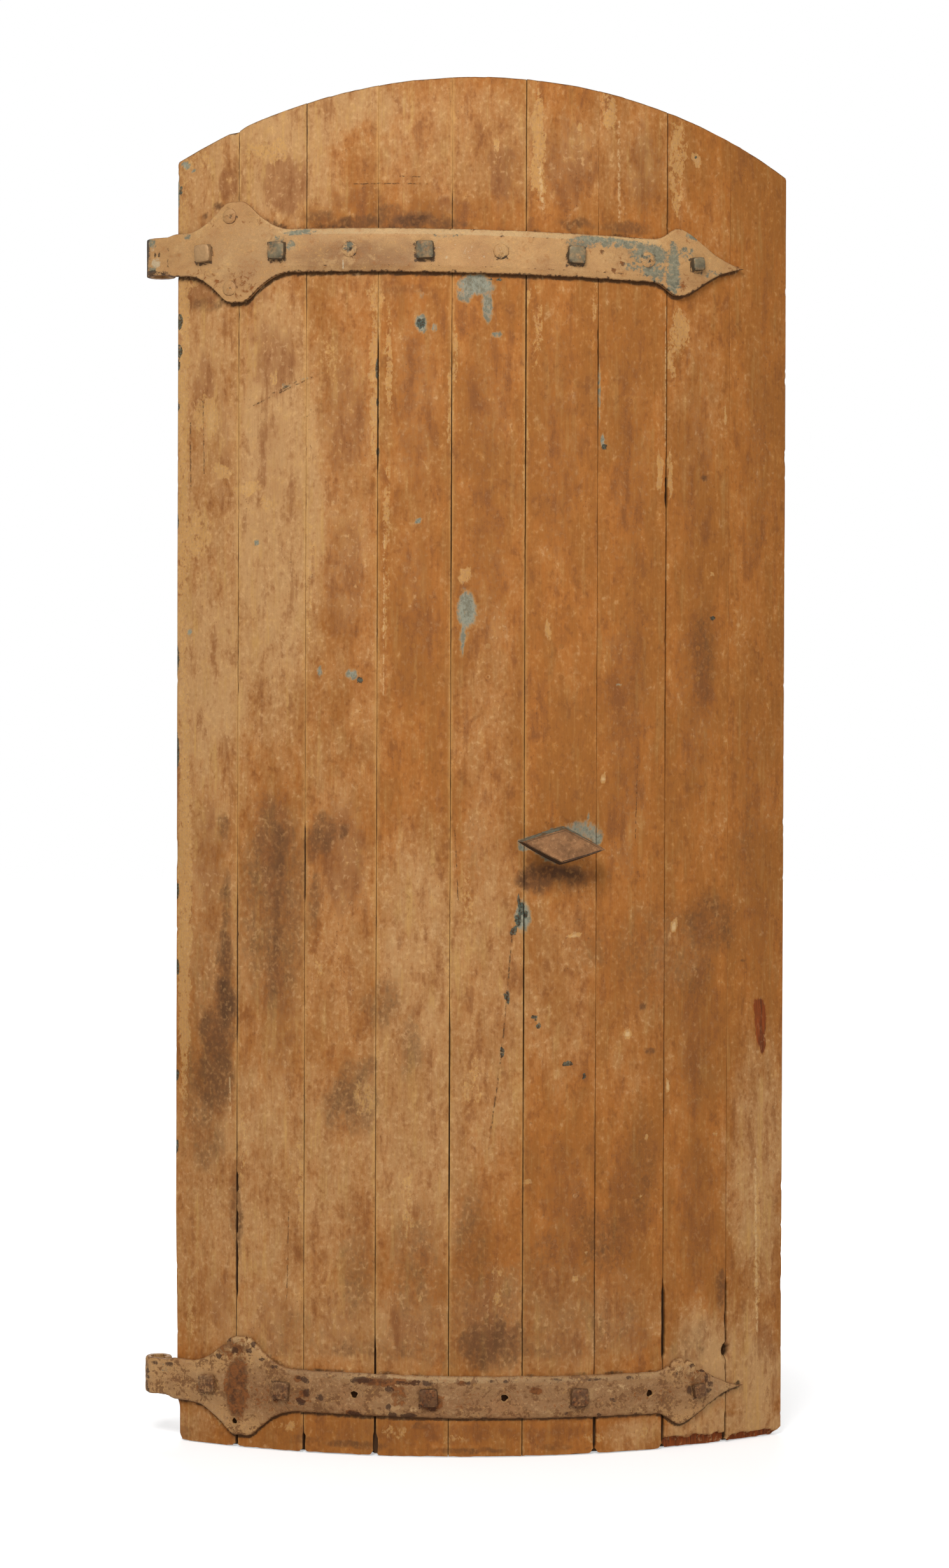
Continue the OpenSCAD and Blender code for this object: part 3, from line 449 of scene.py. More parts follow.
GLAZE = linear(156, 97, 42)
GLAZE_WARM = linear(174, 106, 44)
GLAZE_DEEP = linear(122, 74, 38)
GLAZE_PALE = linear(184, 121, 56)
RUBBED = linear(152, 100, 60)
TAN = linear(188, 144, 95)
OCHRE = linear(200, 152, 88)
CREAM = linear(214, 178, 128)
SPECK = linear(208, 164, 114)
STAIN = linear(100, 66, 40)
STAIN_DEEP = linear(72, 47, 30)
GRIME = linear(52, 38, 25)
TEAL_PAINT = linear(140, 152, 138)
TEAL_STRAP = linear(132, 136, 116)
TEAL_DARK = linear(70, 84, 74)
WOOD_FRESH = linear(146, 71, 27)
WOOD_DARK = linear(98, 51, 25)
IRON_TAN = linear(186, 141, 90)
IRON_DUSTY = linear(175, 136, 92)
IRON_BROWN = linear(136, 95, 58)
IRON_SHELF = linear(190, 158, 112)
IRON_RUDDY = linear(160, 112, 70)
IRON_PALE = linear(198, 158, 106)
IRON_RAW = linear(116, 74, 40)
IRON_CHALK = linear(172, 138, 98)
RUST = linear(130, 73, 31)
RUST_DARK = linear(80, 47, 26)


def board_paint():
    """Brown glaze over ochre, blue-green and bare wood, worn through in layers."""
    n = Paint("board_paint")
    flat = n.flat()
    brush = n.noise(flat, (900, 26, 1), 3, 0.6)
    streak = n.noise(flat, (130, 5, 1), 4, 0.6)
    blotch = n.noise(flat, (14, 6.5, 1), 4, 0.6)
    smudge = n.noise(flat, (54, 23, 1), 5, 0.62, 0.4)
    second = n.noise(flat, (46, 13, 9), 5, 0.62, 0.4)
    patch = n.noise(flat, (90, 50, 1), 6, 0.7, 0.6)
    flake = n.noise(flat, (230, 165, 1), 4, 0.66, 0.3)
    dab = n.noise(flat, (185, 150, 5), 2, 0.5, 0.3)
    speck = n.noise(flat, (470, 330, 1), 2, 0.5)

    def ragged(name, lo, hi, coarse=1.5, fine=0.9):
        return n.ramp(n.add(name, patch, coarse, flake, fine), lo, hi)

    dust = n.add("dust", smudge, 1.2, blotch, 0.8, flake, 0.6, dab, 0.5)
    dust = n.ramp(dust, -0.1, 1.1)
    n.colour = n.mix(n.ramp(n.add(blotch, second, 0.6), 0.38, 0.66, 0.0, 0.8), GLAZE, GLAZE_WARM)
    n.coat(dust, TAN)
    pale = n.times(n.ramp(n.add(streak, second, 0.8), 0.46, 0.22), n.ramp(dust, 0.0, 0.8, 0.25, 0.75))
    n.coat(pale, OCHRE)
    rim = n.ramp(n.add("rim", second, 1.1, streak, 0.8), 0.36, 0.95)
    n.coat(rim, OCHRE, 0.42)
    worn = n.ramp(n.add("worn", second, 1.4, flake, 0.8, dab, 0.5), 0.3, 0.84)
    worn = n.times(worn, n.ramp("worn", 0.0, 0.3))
    n.coat(worn, n.mix(dust, GLAZE_DEEP, RUBBED), 0.66)
    mottle = n.add(patch, smudge, 0.6, dab, 0.5)
    n.coat(n.ramp(mottle, 0.46, 0.26, 0.0, 0.44), n.mix(dust, GLAZE_DEEP, RUBBED))
    n.coat(n.ramp(mottle, 0.54, 0.76, 0.0, 0.4), n.mix(dust, GLAZE_PALE, OCHRE))
    deep = n.ramp(n.add(second, smudge, -0.7, streak, 0.6), 0.52, 0.78, 0.0, 0.55)
    n.coat(deep, GLAZE_DEEP)
    # Stains from the dark marks, which also hold the painted shadow under the knob
    stain_and_shadow = n.add("dark", smudge, 0.9, flake, 0.9, patch, 1.1)
    stain_and_shadow = n.times(n.ramp(stain_and_shadow, 0.05, 1.1), n.ramp("dark", 0.0, 0.45))
    stain_and_shadow = n.times(stain_and_shadow, n.ramp(dab, 0.64, 0.5, 0.72, 1.0))
    n.coat(stain_and_shadow, n.mix(n.ramp("dark", 0.86, 1.0), STAIN, STAIN_DEEP), 0.92)
    bare = ragged("bare", 0.44, 0.66)
    ochre = n.mix(n.ramp(speck, 0.4, 0.64), OCHRE, TAN)
    ochre = n.mix(n.ramp("bare", 0.78, 1.0, 0.0, 0.85), ochre, CREAM)
    n.coat(bare, ochre, n.ramp("bare", 0.82, 1.0, 0.66, 0.86))
    soil = n.ramp(n.add("edge", streak, 1.0, flake, 0.5), 0.62, 1.1)
    n.coat(soil, GRIME, 0.6)
    # Painted shadow with grime below the straps, and grime above them
    seat = n.ramp(n.add("seat", flake, 0.9, patch, 0.6), 0.28, 0.86)
    n.coat(seat, GRIME, 0.82)
    halo = n.ramp(n.add("teal", patch, 1.2), 0.3, 0.55)
    n.coat(halo, OCHRE, 0.3)
    teal = ragged("teal", 0.36, 0.84, 1.3, 1.1)
    blue = n.mix(n.ramp(n.add(flake, patch, 0.9), 0.36, 0.66), TEAL_PAINT, n.mix(0.7, TEAL_PAINT, TEAL_DARK))
    n.coat(teal, blue, 0.8)
    green = ragged("green", 0.46, 0.62, 1.2, 1.0)
    n.coat(green, n.mix(n.ramp(speck, 0.4, 0.6), TEAL_DARK, GRIME), 0.9)
    raw = n.ramp(n.add("raw", patch, 0.6, flake, 0.5), 0.4, 0.6)
    n.coat(raw, n.mix(n.ramp(brush, 0.38, 0.62), WOOD_DARK, WOOD_FRESH))
    wobble = n.noise(flat, (160, 90, 1), 3, 0.6)
    face = n.vectors("MULTIPLY", flat, (1.0, 1.0, 0.0))
    face = n.node("VectorMath", {0: wobble, 1: (0.003, 0.003, 0.0), 2: face}, operation="MULTIPLY_ADD").outputs[0]

    def lines(marks, weight, lo, hi):
        mask = 0.0
        for x0, y0, x1, y1, width in marks:
            mask = n.math("MAXIMUM", mask, n.line(face, spot(x0, y0), spot(x1, y1), width))
        return n.times(mask, n.ramp(n.add(flake, patch, weight), lo, hi))

    cracks = lines(CRACKS, 0.9, 0.42, 0.6)
    n.coat(cracks, GRIME, 0.75)
    n.coat(lines(PALE_LINES, 0.7, 0.4, 0.58), CREAM, 0.5)
    specks = n.times(n.ramp(speck, 0.64, 0.71), n.ramp(second, 0.45, 0.65, 0.1, 0.6))
    n.coat(specks, STAIN)
    lights = n.times(n.ramp(dab, 0.56, 0.7), n.ramp(n.add(smudge, dust, 0.4), 0.36, 0.66, 0.25, 0.9))
    lights = n.times(lights, n.ramp(stain_and_shadow, 0.1, 0.7, 1.0, 0.25))
    n.coat(lights, SPECK, 0.42)
    tone = n.add(n.ramp(brush, 0.25, 0.75, 0.95, 1.05), flake, 0.22, second, 0.34, streak, 0.2)
    n.shade(tone)
    # Painted shade in recesses: inside the joints, the knot hole and behind the empty strap holes
    n.shade(n.ramp("sunk", 0.0, 1.2, 1.0, 0.1))
    height = n.add(n.times(brush, 0.22), streak, 0.5, bare, -0.3, teal, -0.4, cracks, -0.8, flake, 0.3)
    gloss = n.ramp(n.add(smudge, flake, 0.5), 0.3, 0.75, 0.6, 0.84)
    return n.finish(gloss, height, (0.5, 0.0009), specular=0.15)


def raw_timber(name, base, deep, pale, upright):
    """Weathered bare softwood with its grain upright, as on the boards, or level, as on the ledges."""
    n = Paint(name)
    place, along = (n.flat(), (1.0, 0.03, 1.0)) if upright else (n.place(), (0.03, 0.35, 1.0))
    grain = n.noise(place, tuple(420 * v for v in along), 5, 0.6, 0.2)
    rings = n.noise(place, tuple(70 * v for v in along), 3, 0.5, 0.8)
    weather = n.noise(place, (9, 9, 5), 5, 0.62)
    spots = n.noise(place, (130, 130, 90), 4, 0.6)
    n.colour = n.mix(n.ramp(rings, 0.35, 0.65), base, deep)
    n.coat(n.ramp(grain, 0.48, 0.7, 0.0, 0.75), deep)
    n.coat(n.ramp(weather, 0.44, 0.7, 0.0, 0.6), pale)
    n.coat(n.ramp(spots, 0.62, 0.72, 0.0, 0.55), STAIN)
    n.shade(n.ramp(grain, 0.2, 0.8, 1.08, 0.86))
    gloss = n.ramp(weather, 0.3, 0.7, 0.68, 0.86)
    return n.finish(gloss, n.add(grain, rings, 0.6), (0.5, 0.0011), specular=0.22)


def strap_paint():
    """Tan paint on forged iron, chipped to blue-green paint and to rust."""
    n = Paint("strap_paint")
    flat = n.flat()
    mottle = n.noise(flat, (30, 34, 1), 5, 0.64, 0.4)
    chip = n.noise(flat, (100, 100, 1), 6, 0.68, 0.5)
    crust = n.noise(flat, (240, 240, 1), 4, 0.62)
    drag = n.noise(flat, (24, 230, 1), 3, 0.6)
    fine = n.noise(flat, (700, 700, 1), 2, 0.5)
    ruddy = n.noise(flat, (19, 23, 7), 5, 0.62, 0.5)

    def ragged(name, lo, hi, coarse=1.1, small=0.7):
        mask = n.ramp(n.add(name, chip, coarse, crust, small), lo, hi)
        return n.times(mask, n.ramp(name, 0.02, 0.22))

    n.colour = n.mix(n.ramp(n.add("dust", mottle, 1.5), 0.1, 1.0), IRON_TAN, IRON_DUSTY)
    # The upper chamfer of the straps is paler: dust, with a painted highlight
    shelf = n.ramp(n.add("shelf", mottle, 0.6, crust, 0.4), 0.25, 0.6)
    n.coat(shelf, IRON_SHELF, 0.65)
    soil = n.ramp(n.add("soil", mottle, 1.3, drag, 0.6, crust, 0.7), 0.1, 0.95)
    n.coat(soil, IRON_BROWN, 0.85)
    n.coat(n.ramp(n.add(ruddy, crust, 0.5), 0.5, 0.7, 0.0, 0.55), IRON_RUDDY)
    n.coat(n.ramp(n.add(ruddy, chip, 0.6), 0.46, 0.3, 0.0, 0.5), IRON_PALE)
    crusted = n.add(mottle, chip, 1.1, crust, 0.5)
    n.coat("heavy", IRON_RAW, n.ramp(crusted, 0.5, 0.36, 0.0, 0.8))
    n.coat("heavy", IRON_CHALK, n.ramp(crusted, 0.56, 0.72, 0.0, 0.75))
    n.coat(n.ramp(n.add(chip, mottle, 0.5), 0.54, 0.72, 0.0, 0.45), GLAZE)
    n.coat(n.ramp(n.add(crust, mottle, -0.4), 0.56, 0.72, 0.0, 0.5), OCHRE)
    rust = ragged("rust", 0.42, 0.8, 2.3, 0.8)
    rust_tone = n.mix(n.ramp(n.add(chip, crust, 0.5), 0.36, 0.64), RUST_DARK, RUST)
    rust_tone = n.mix(n.ramp(mottle, 0.5, 0.66, 0.0, 0.5), rust_tone, linear(142, 88, 44))
    n.coat(rust, rust_tone, 0.86)
    edge = ragged("edge", 0.55, 1.0, 1.2, 0.8)
    n.coat(edge, n.mix(n.ramp(chip, 0.4, 0.6), RUST_DARK, IRON_BROWN), 0.7)
    teal = ragged("teal", 0.38, 0.8, 2.2, 1.6)
    blue = n.mix(n.ramp(n.add(crust, chip, 0.5), 0.34, 0.66), TEAL_STRAP, n.mix(0.75, TEAL_STRAP, TEAL_DARK))
    n.coat(teal, blue, 0.82)
    pale = ragged("pale", 0.44, 0.76, 1.8, 1.4)
    n.coat(pale, n.mix("heavy", linear(190, 172, 140), linear(196, 158, 110)), 0.75)
    # The dark coat also holds painted shade along the lower edge and creases and round the bolt and screw heads
    dark = ragged("dark", 0.4, 0.74, 2.0, 1.5)
    n.coat(dark, n.mix("heavy", linear(54, 38, 27), linear(66, 40, 24)), 0.85)
    tone = n.add(n.ramp(n.add(fine, crust, 0.9), 0.2, 0.8, 0.88, 1.1), mottle, 0.42)
    n.shade(n.add(tone, drag, 0.12))
    height = n.add(n.times(crust, 0.5), chip, 0.8, rust, 0.4, teal, -0.5, dark, -0.5)
    return n.finish(n.ramp(rust, 0.0, 1.0, 0.58, 0.84), height, (0.6, 0.001), specular=0.24)


def old_iron(name, base, second, rust_share, remains=None, scale=1.0, metal=0.25):
    """Dark iron with rust in patches; where it was painted, paint stays by the piece's own painted share."""
    n = Paint(name)
    place = n.place()

    def at(size):
        return (size * scale,) * 3

    cloud = n.noise(place, at(48), 5, 0.62)
    chip = n.noise(place, at(150), 6, 0.68, 0.3)
    grit = n.noise(place, at(330), 3, 0.6)
    n.colour = n.mix(n.ramp(cloud, 0.36, 0.66), base, second)
    rust = n.ramp(n.add(chip, cloud, 0.6), 0.66 - 0.3 * rust_share, 0.78 - 0.3 * rust_share)
    n.coat(rust, n.mix(n.ramp(grit, 0.4, 0.62), RUST_DARK, RUST), 0.85)
    if remains:
        left = n.ramp(n.add("painted", chip, 1.2, grit, 0.3), 0.22, 0.84)
        n.coat(left, n.mix(n.ramp(grit, 0.35, 0.65), remains, IRON_DUSTY), 0.9)
        # Painted shade on the sides of a head, by its flank share
        flank = n.ramp(n.add("flank", chip, 0.8), 0.3, 0.9, 0.0, 0.72)
        n.coat(flank, linear(50, 44, 34))
    n.shade(n.ramp(grit, 0.2, 0.8, 0.88, 1.1))
    height = n.add(n.times(grit, 0.5), chip, 0.8)
    return n.finish(n.ramp(chip, 0.3, 0.7, 0.5, 0.78), height, (0.5, 0.0007), metallic=metal)


def arch_top(x):
    """Height above the foot of the arched head at a plan X."""
    across = np.clip(x - AXIS_X - ARCH_SHIFT, -ARCH_R, ARCH_R)
    return CROWN - ARCH_R + np.sqrt(ARCH_R ** 2 - across ** 2)


def opened(joint, z, side):
    """Extra retreat of a board's edge from a joint at each height."""
    extra = np.zeros_like(z)
    share = 0.5 + 0.2 * side
    for number, py0, py1, width in OPENED:
        if number != joint:
            continue
        middle = spot(PHOTO_W / 2, (py0 + py1) / 2)[1]
        half = abs(spot(PHOTO_W / 2, py0)[1] - spot(PHOTO_W / 2, py1)[1]) / 2
        ragged = 1 + 0.35 * rough(z / 0.012, joint * 3.1 + side, 41)
        extra = np.maximum(extra, share * width * ragged * smooth(1.15, 0.75, np.abs(z - middle) / half))
    return extra


def filled_joint(joint, z):
    """Share of a joint that old paint has closed at each height."""
    if joint in (0, BOARDS):
        return np.zeros_like(z)
    share = JOINT_FILL[joint]
    if joint in (3, 4, 6):
        share = share + (1.0 - share) * smooth(1.62, 1.66, z)
    if joint in (2, 7):
        share = share * (1 - smooth(1.5, 1.58, z))
    if joint == 8:
        share = share + (1.0 - share) * smooth(FILLED_ABOVE - 0.04, FILLED_ABOVE + 0.02, z)
    else:
        share = share * (0.35 + 0.65 * smooth(0.38, 0.8, z))
    full = smooth(0.9, 1.0, share)
    wide = smooth(0.0, 0.0004, opened(joint, z, 0))
    broken = smooth(-0.3, 0.3, rough(z / 0.11, 1.9 * joint, 301 + joint))
    return share * (0.35 + 0.65 * np.maximum(broken, 0.92 * full)) * (1 - wide)


def turned(distance, radius):
    """Drop of a face that is rounded off by a radius, at a distance from its edge."""
    inside = np.clip(radius - distance, 0.0, None)
    return radius - np.sqrt(np.clip(radius ** 2 - inside ** 2, 0.0, None))


def face_relief(s, z, seed):
    """Depth of the worn face below the true bow."""
    depth = 0.0003 * (1 + rough(s / 0.045, z / 0.36, seed))
    return depth + 0.00016 * (1 + rough(s / 0.012, z / 0.1, seed + 3))


# Straps: seat and outer radius, outline, and places of the fasteners, as in the part's source
STRAP_IN = 0.7252
STRAP_OUT = 0.7342
STRAP_MID = (STRAP_IN + STRAP_OUT) / 2
STRAP_HALF = 0.0295
LOBE_S = EDGE_S + 0.098
LOBE_HALF = 0.068
LOBE_TIP = 0.015
LOBE_REACH = 0.076
POINT_S = EDGE_S + 0.675
POINT_LEN = 0.129
POINT_HALF = 0.047
POINT_BULGE = 0.028
EYE_REACH = 0.035
EYE_MID = 0.0155
EYE_HALF = 0.026
EYE_TURN = 292
BOLT_S = [EDGE_S + 0.05, EDGE_S + 0.159, EDGE_S + 0.3582, EDGE_S + 0.5574, POINT_S + 0.054]
ROW_SCREW_S = [EDGE_S + 0.2586, EDGE_S + 0.4578, EDGE_S + 0.657]
LOBE_SCREW_S = LOBE_S - 0.009
LOBE_SCREW_Z = 0.048

# Place and lie of the knob
KNOB_S = 0.093
KNOB_Z = 0.814
KNOB_BACK = FACE_R + 0.024
KNOB_DEEP = 0.0231
KNOB_DROOP = math.radians(-5.4)
# Half length, half height and roundness of its face and of its back, and the two halves of the paint behind it
KNOB_FACE = (0.0558, 0.0219, 1.05)
KNOB_SPLAY = (0.0588, 0.0258, 1.07)
KNOB_PAINT = (0.0575, 0.0265)


class Strap:
    """Where one strap runs on the leaf, and whether it is heavily rusted."""

    def __init__(self, name, z, droop, shift, heavy):
        self.name = name
        self.heavy = heavy
        self.seed = 500 if heavy else 400
        self.z = z
        self.slope = math.tan(math.radians(droop))
        self.shift = shift
        self.lobe = LOBE_S + shift
        self.point = POINT_S + shift
        self.tip = POINT_S + POINT_LEN + shift
        self.bolts = [s + shift for s in BOLT_S]

    def line(self, s):
        """Height of the centre line at an arc length."""
        return self.z - self.slope * FACE_R * np.sin(s / FACE_R)

    def outline(self, s):
        """Half height of the drawn outline at an arc length."""
        u = np.abs(s - self.lobe)
        t = np.clip((u - LOBE_TIP) / (LOBE_REACH - LOBE_TIP), 0.0, 1.0)
        lobe = STRAP_HALF + (LOBE_HALF - STRAP_HALF) * (1 - t) ** 1.8
        v = s - self.point
        rise = (1 - np.cos(math.pi * np.clip((v + 0.2 * POINT_BULGE) / (1.2 * POINT_BULGE), 0, 1))) / 2
        w = np.clip((v - POINT_BULGE) / (POINT_LEN - POINT_BULGE), 0, 1)
        taper = POINT_HALF * (0.55 * (1 - w) + 0.45 * np.cos(math.pi / 2 * w) ** 4)
        point = np.where(v < POINT_BULGE, STRAP_HALF + (POINT_HALF - STRAP_HALF) * rise, taper)
        return np.where(u < LOBE_REACH, lobe, point)

    def half(self, s):
        """Half height with the corners of the outline rounded by the hammer."""
        return sum(self.outline(s + step) for step in np.linspace(-0.007, 0.007, 9)) / 9

    def eaten(self, s, half):
        """How far rust has eaten the upper and the lower edge."""
        depth = 0.0022 if self.heavy else 0.0009
        upper = depth * (1 + rough(s / 0.012, 1.3, self.seed)) * 0.6
        lower = depth * (1 + rough(s / 0.012, 8.3, self.seed + 1)) * 0.6
        if self.heavy:
            bites = smooth(0.1, 0.7, rough(s / 0.007, 3.3, self.seed + 2))
            upper = upper + 0.012 * smooth(0.044, 0.012, np.abs(s - self.lobe)) * bites
            bites = smooth(0.0, 0.6, rough(s / 0.006, 5.1, self.seed + 3))
            upper = upper + 0.009 * smooth(0.05, 0.01, np.abs(s - self.point - 0.03)) * bites
        return np.minimum(upper, 0.5 * half), np.minimum(lower, 0.5 * half)


UPPER = Strap("upper_strap", 1.598, 1.2, 0.0, False)
LOWER = Strap("lower_strap", 0.08, 0.6, 0.01, True)


def screw_places(strap):
    """Where the strap's screws sit, the row first and then the lobe."""
    places = [(s + strap.shift, strap.line(s + strap.shift)) for s in ROW_SCREW_S]
    lobe_line = strap.line(LOBE_SCREW_S + strap.shift)
    for sign in (-1, 1):
        places.append((LOBE_SCREW_S + strap.shift, lobe_line + sign * LOBE_SCREW_Z))
    return places


# The lower strap's screws are gone, and their holes stand open
HOLE_RADII = (0.0048, 0.0048, 0.0048, 0.0042)
LOWER_HOLES = [place + (radius,) for place, radius in zip(screw_places(LOWER), HOLE_RADII)]


def strap_shadow_and_grime(s, z, seed):
    """Painted shadow mixed with dirt on the boards below the lower edges of the straps, and dirt along their upper
    edges.
    """
    shadow_and_dirt = np.zeros_like(s)
    for strap, below, above in ((UPPER, 0.0058, 0.011), (LOWER, 0.0042, 0.005)):
        inside = smooth(strap.tip + 0.002, strap.tip - 0.006, s)
        middle, half = strap.line(s), strap.half(s)
        under = middle - half - z
        over = z - middle - half
        ragged = 1 + 0.5 * rough(s / 0.01, z / 0.01, seed)
        shadow_and_dirt = np.maximum(shadow_and_dirt, inside * smooth(below * ragged, 0.25 * below, under) * (under > -0.006))
        broken = smooth(-0.25, 0.45, rough(s / 0.03, 2.6, seed + 3))
        shadow_and_dirt = np.maximum(shadow_and_dirt, 0.72 * inside * broken * smooth(above * ragged, 0.0, over) * (over > -0.006))
    return shadow_and_dirt


def knob_shadow(s, z, seed):
    """Old paint that is left on the boards behind the knob, in its outline."""
    ds, dz = s - KNOB_S + 0.002, z - KNOB_Z + 0.001
    c, d = math.cos(KNOB_DROOP), math.sin(KNOB_DROOP)
    reach = np.abs(ds * c + dz * d) / KNOB_PAINT[0] + np.abs(dz * c - ds * d) / KNOB_PAINT[1]
    return smooth(1.05, 0.95, reach + 0.05 * rough(s / 0.008, z / 0.008, seed))


# Distances of the columns of points from a board's edge, on its rounded arris and where the flat begins
ARRIS_COLUMNS = np.array([0.0, 0.0003, 0.0008, 0.0015, 0.0026, 0.0042])
FLAT_FROM = 0.0068


class Board:
    """Where one board lies between its joints, and how its edges are worn."""

    def __init__(self, index):
        self.index = index
        self.seed = 100 + index * 13
        self.first, self.last = index == 0, index == BOARDS - 1
        start = -HALF + index * BOARD_ANGLE
        self.joint_l, self.joint_r = start * FACE_R, (start + BOARD_ANGLE) * FACE_R
        self.left = self.joint_l + (0.0 if self.first else JOINT_GAP / 2)
        self.right = self.joint_r - (0.0 if self.last else JOINT_GAP / 2)

    def wear(self, z, wave, chip, step):
        """Radius of a worn arris at each height."""
        worn = 0.0005 + 0.0007 * np.abs(rough(z / 0.09, wave + self.index, self.seed + step))
        return worn + 0.0022 * smooth(0.3, 0.65, rough(z / 0.02, chip, self.seed + step + 3))

    def sides(self, z):
        """Edge, worn radius and filled share at each height, of the hinge side and of the closing side."""
        fill_l, fill_r = filled_joint(self.index, z), filled_joint(self.index + 1, z)
        edge_l = self.left - 0.00035 * fill_l
        edge_r = self.right + 0.00035 * fill_r
        wear_l = self.wear(z, 2.0, 3.0, 1) * (1 - 0.7 * fill_l)
        wear_r = self.wear(z, 7.0, 5.0, 2) * (1 - 0.7 * fill_r)
        if self.first:
            edge_l = edge_l + 0.0028 * smooth(0.34, 0.12, z) + 0.0046 * smooth(0.062, 0.045, z)
            edge_l = edge_l + 0.003 * smooth(0.01, 0.0, z)
            wear_l = wear_l + 0.0022
        else:
            edge_l = edge_l + opened(self.index, z, 1)
        if self.last:
            wear_r = wear_r + 0.0014
        else:
            edge_r = edge_r - opened(self.index + 1, z, -1)
        return (edge_l, wear_l, fill_l), (edge_r, wear_r, fill_r)

    def ring(self, edge_l, edge_r):
        """Arc lengths and depths of the points after the front: closing side, back, hinge side."""
        tongue, groove = self.joint_r + TONGUE_REACH, self.joint_l + GROOVE_REACH
        if self.last:
            ring = [(edge_r, 0.008), (edge_r, 0.018)]
        else:
            ring = [(edge_r, ARRIS_END), (edge_r, TONGUE_NEAR - DRAFT), (tongue, TONGUE_NEAR + DRAFT),
                    (tongue, TONGUE_FAR - DRAFT), (self.right, TONGUE_FAR + DRAFT)]
        ring += [(self.right, BACK_ARRIS)]
        ring += [(s, BACK_DEPTH) for s in np.linspace(self.right - 0.0012, self.left + 0.0012, 9)]
        ring += [(self.left, BACK_ARRIS)]
        if self.first:
            return ring + [(edge_l, 0.018), (edge_l, 0.008)]
        return ring + [(self.left, GROOVE_FAR + DRAFT), (groove, GROOVE_FAR - DRAFT), (groove, GROOVE_NEAR + DRAFT),
                       (edge_l, GROOVE_NEAR - DRAFT), (edge_l, ARRIS_END)]

    def foot(self, s, depth):
        """Height of the ragged foot, with notches at the joints."""
        lift = np.zeros_like(s)
        for joint, notch in FOOT_NOTCHES.items():
            away = np.abs(s - EDGE_S - joint * BOARD_ANGLE * FACE_R)
            lift = np.maximum(lift, notch * smooth(0.006, 0.001, away) * (depth < 0.01))
        return lift + 0.0012 * (1 + rough(s / 0.008, 1.7, self.seed + 8))

    def head(self, s, depth):
        """Height of the arched head, chipped along its edge."""
        chipped = 0.0008 * (1 + rough(s / 0.01, 4.2, self.seed + 9))
        step = EDGE_S + BOARD_ANGLE * FACE_R
        if self.index == 0:
            chipped = chipped + 0.0034 * smooth(step - 0.016, step - 0.008, s)
        if self.index == 1:
            chipped = chipped + 0.002 * smooth(step + 0.01, step, s)
        return arch_top(AXIS_X + (FACE_R - depth) * np.sin(s / FACE_R)) - chipped

    def broken_away(self, s, z):
        """Where the face has broken away along the foot."""
        if self.index not in BROKEN_FOOT:
            return np.zeros_like(s)
        line = BROKEN_FOOT[self.index] + 0.005 * rough(s / 0.011, 2.2, 77)
        if self.last:
            line = line * smooth(self.right - 0.004, self.right - 0.022, s)
            line = line * smooth(self.left - 0.004, self.left + 0.012, s)
        return smooth(line + 0.0008, line - 0.0012, z)

    def dirty_edge(self, s, z, under_head, fill_l, fill_r):
        """Dirt along the joints, less where paint fills them, and a dark band along the arched head."""
        by_left = np.exp(-(s - self.left).clip(0.0, None) / 0.003) * (1 - 0.75 * fill_l)[:, None]
        by_right = np.exp(-(self.right - s).clip(0.0, None) / 0.003) * (1 - 0.75 * fill_r)[:, None]
        edge = np.maximum(np.maximum(by_left, by_right), 1.15 * np.exp(-under_head / 0.0032))
        if self.index in (7, 8):
            away = self.right - s if self.index == 7 else s - self.left
            edge = np.where(away < 0.03, edge * (1 - 0.7 * smooth(0.5, 0.56, z)), edge)
        return edge

    def pale_rim(self, s):
        """Paint rubbed pale along the joints, most on the hinge side of the leaf."""
        share = smooth(0.22, 0.02, s) * 0.75 + 0.25
        if self.first or self.last:
            share = share * smooth(0.0, 0.04, s - self.left if self.first else self.right - s)
        return share * np.exp(-np.minimum(s - self.left, self.right - s).clip(0.0, None) / 0.0055)


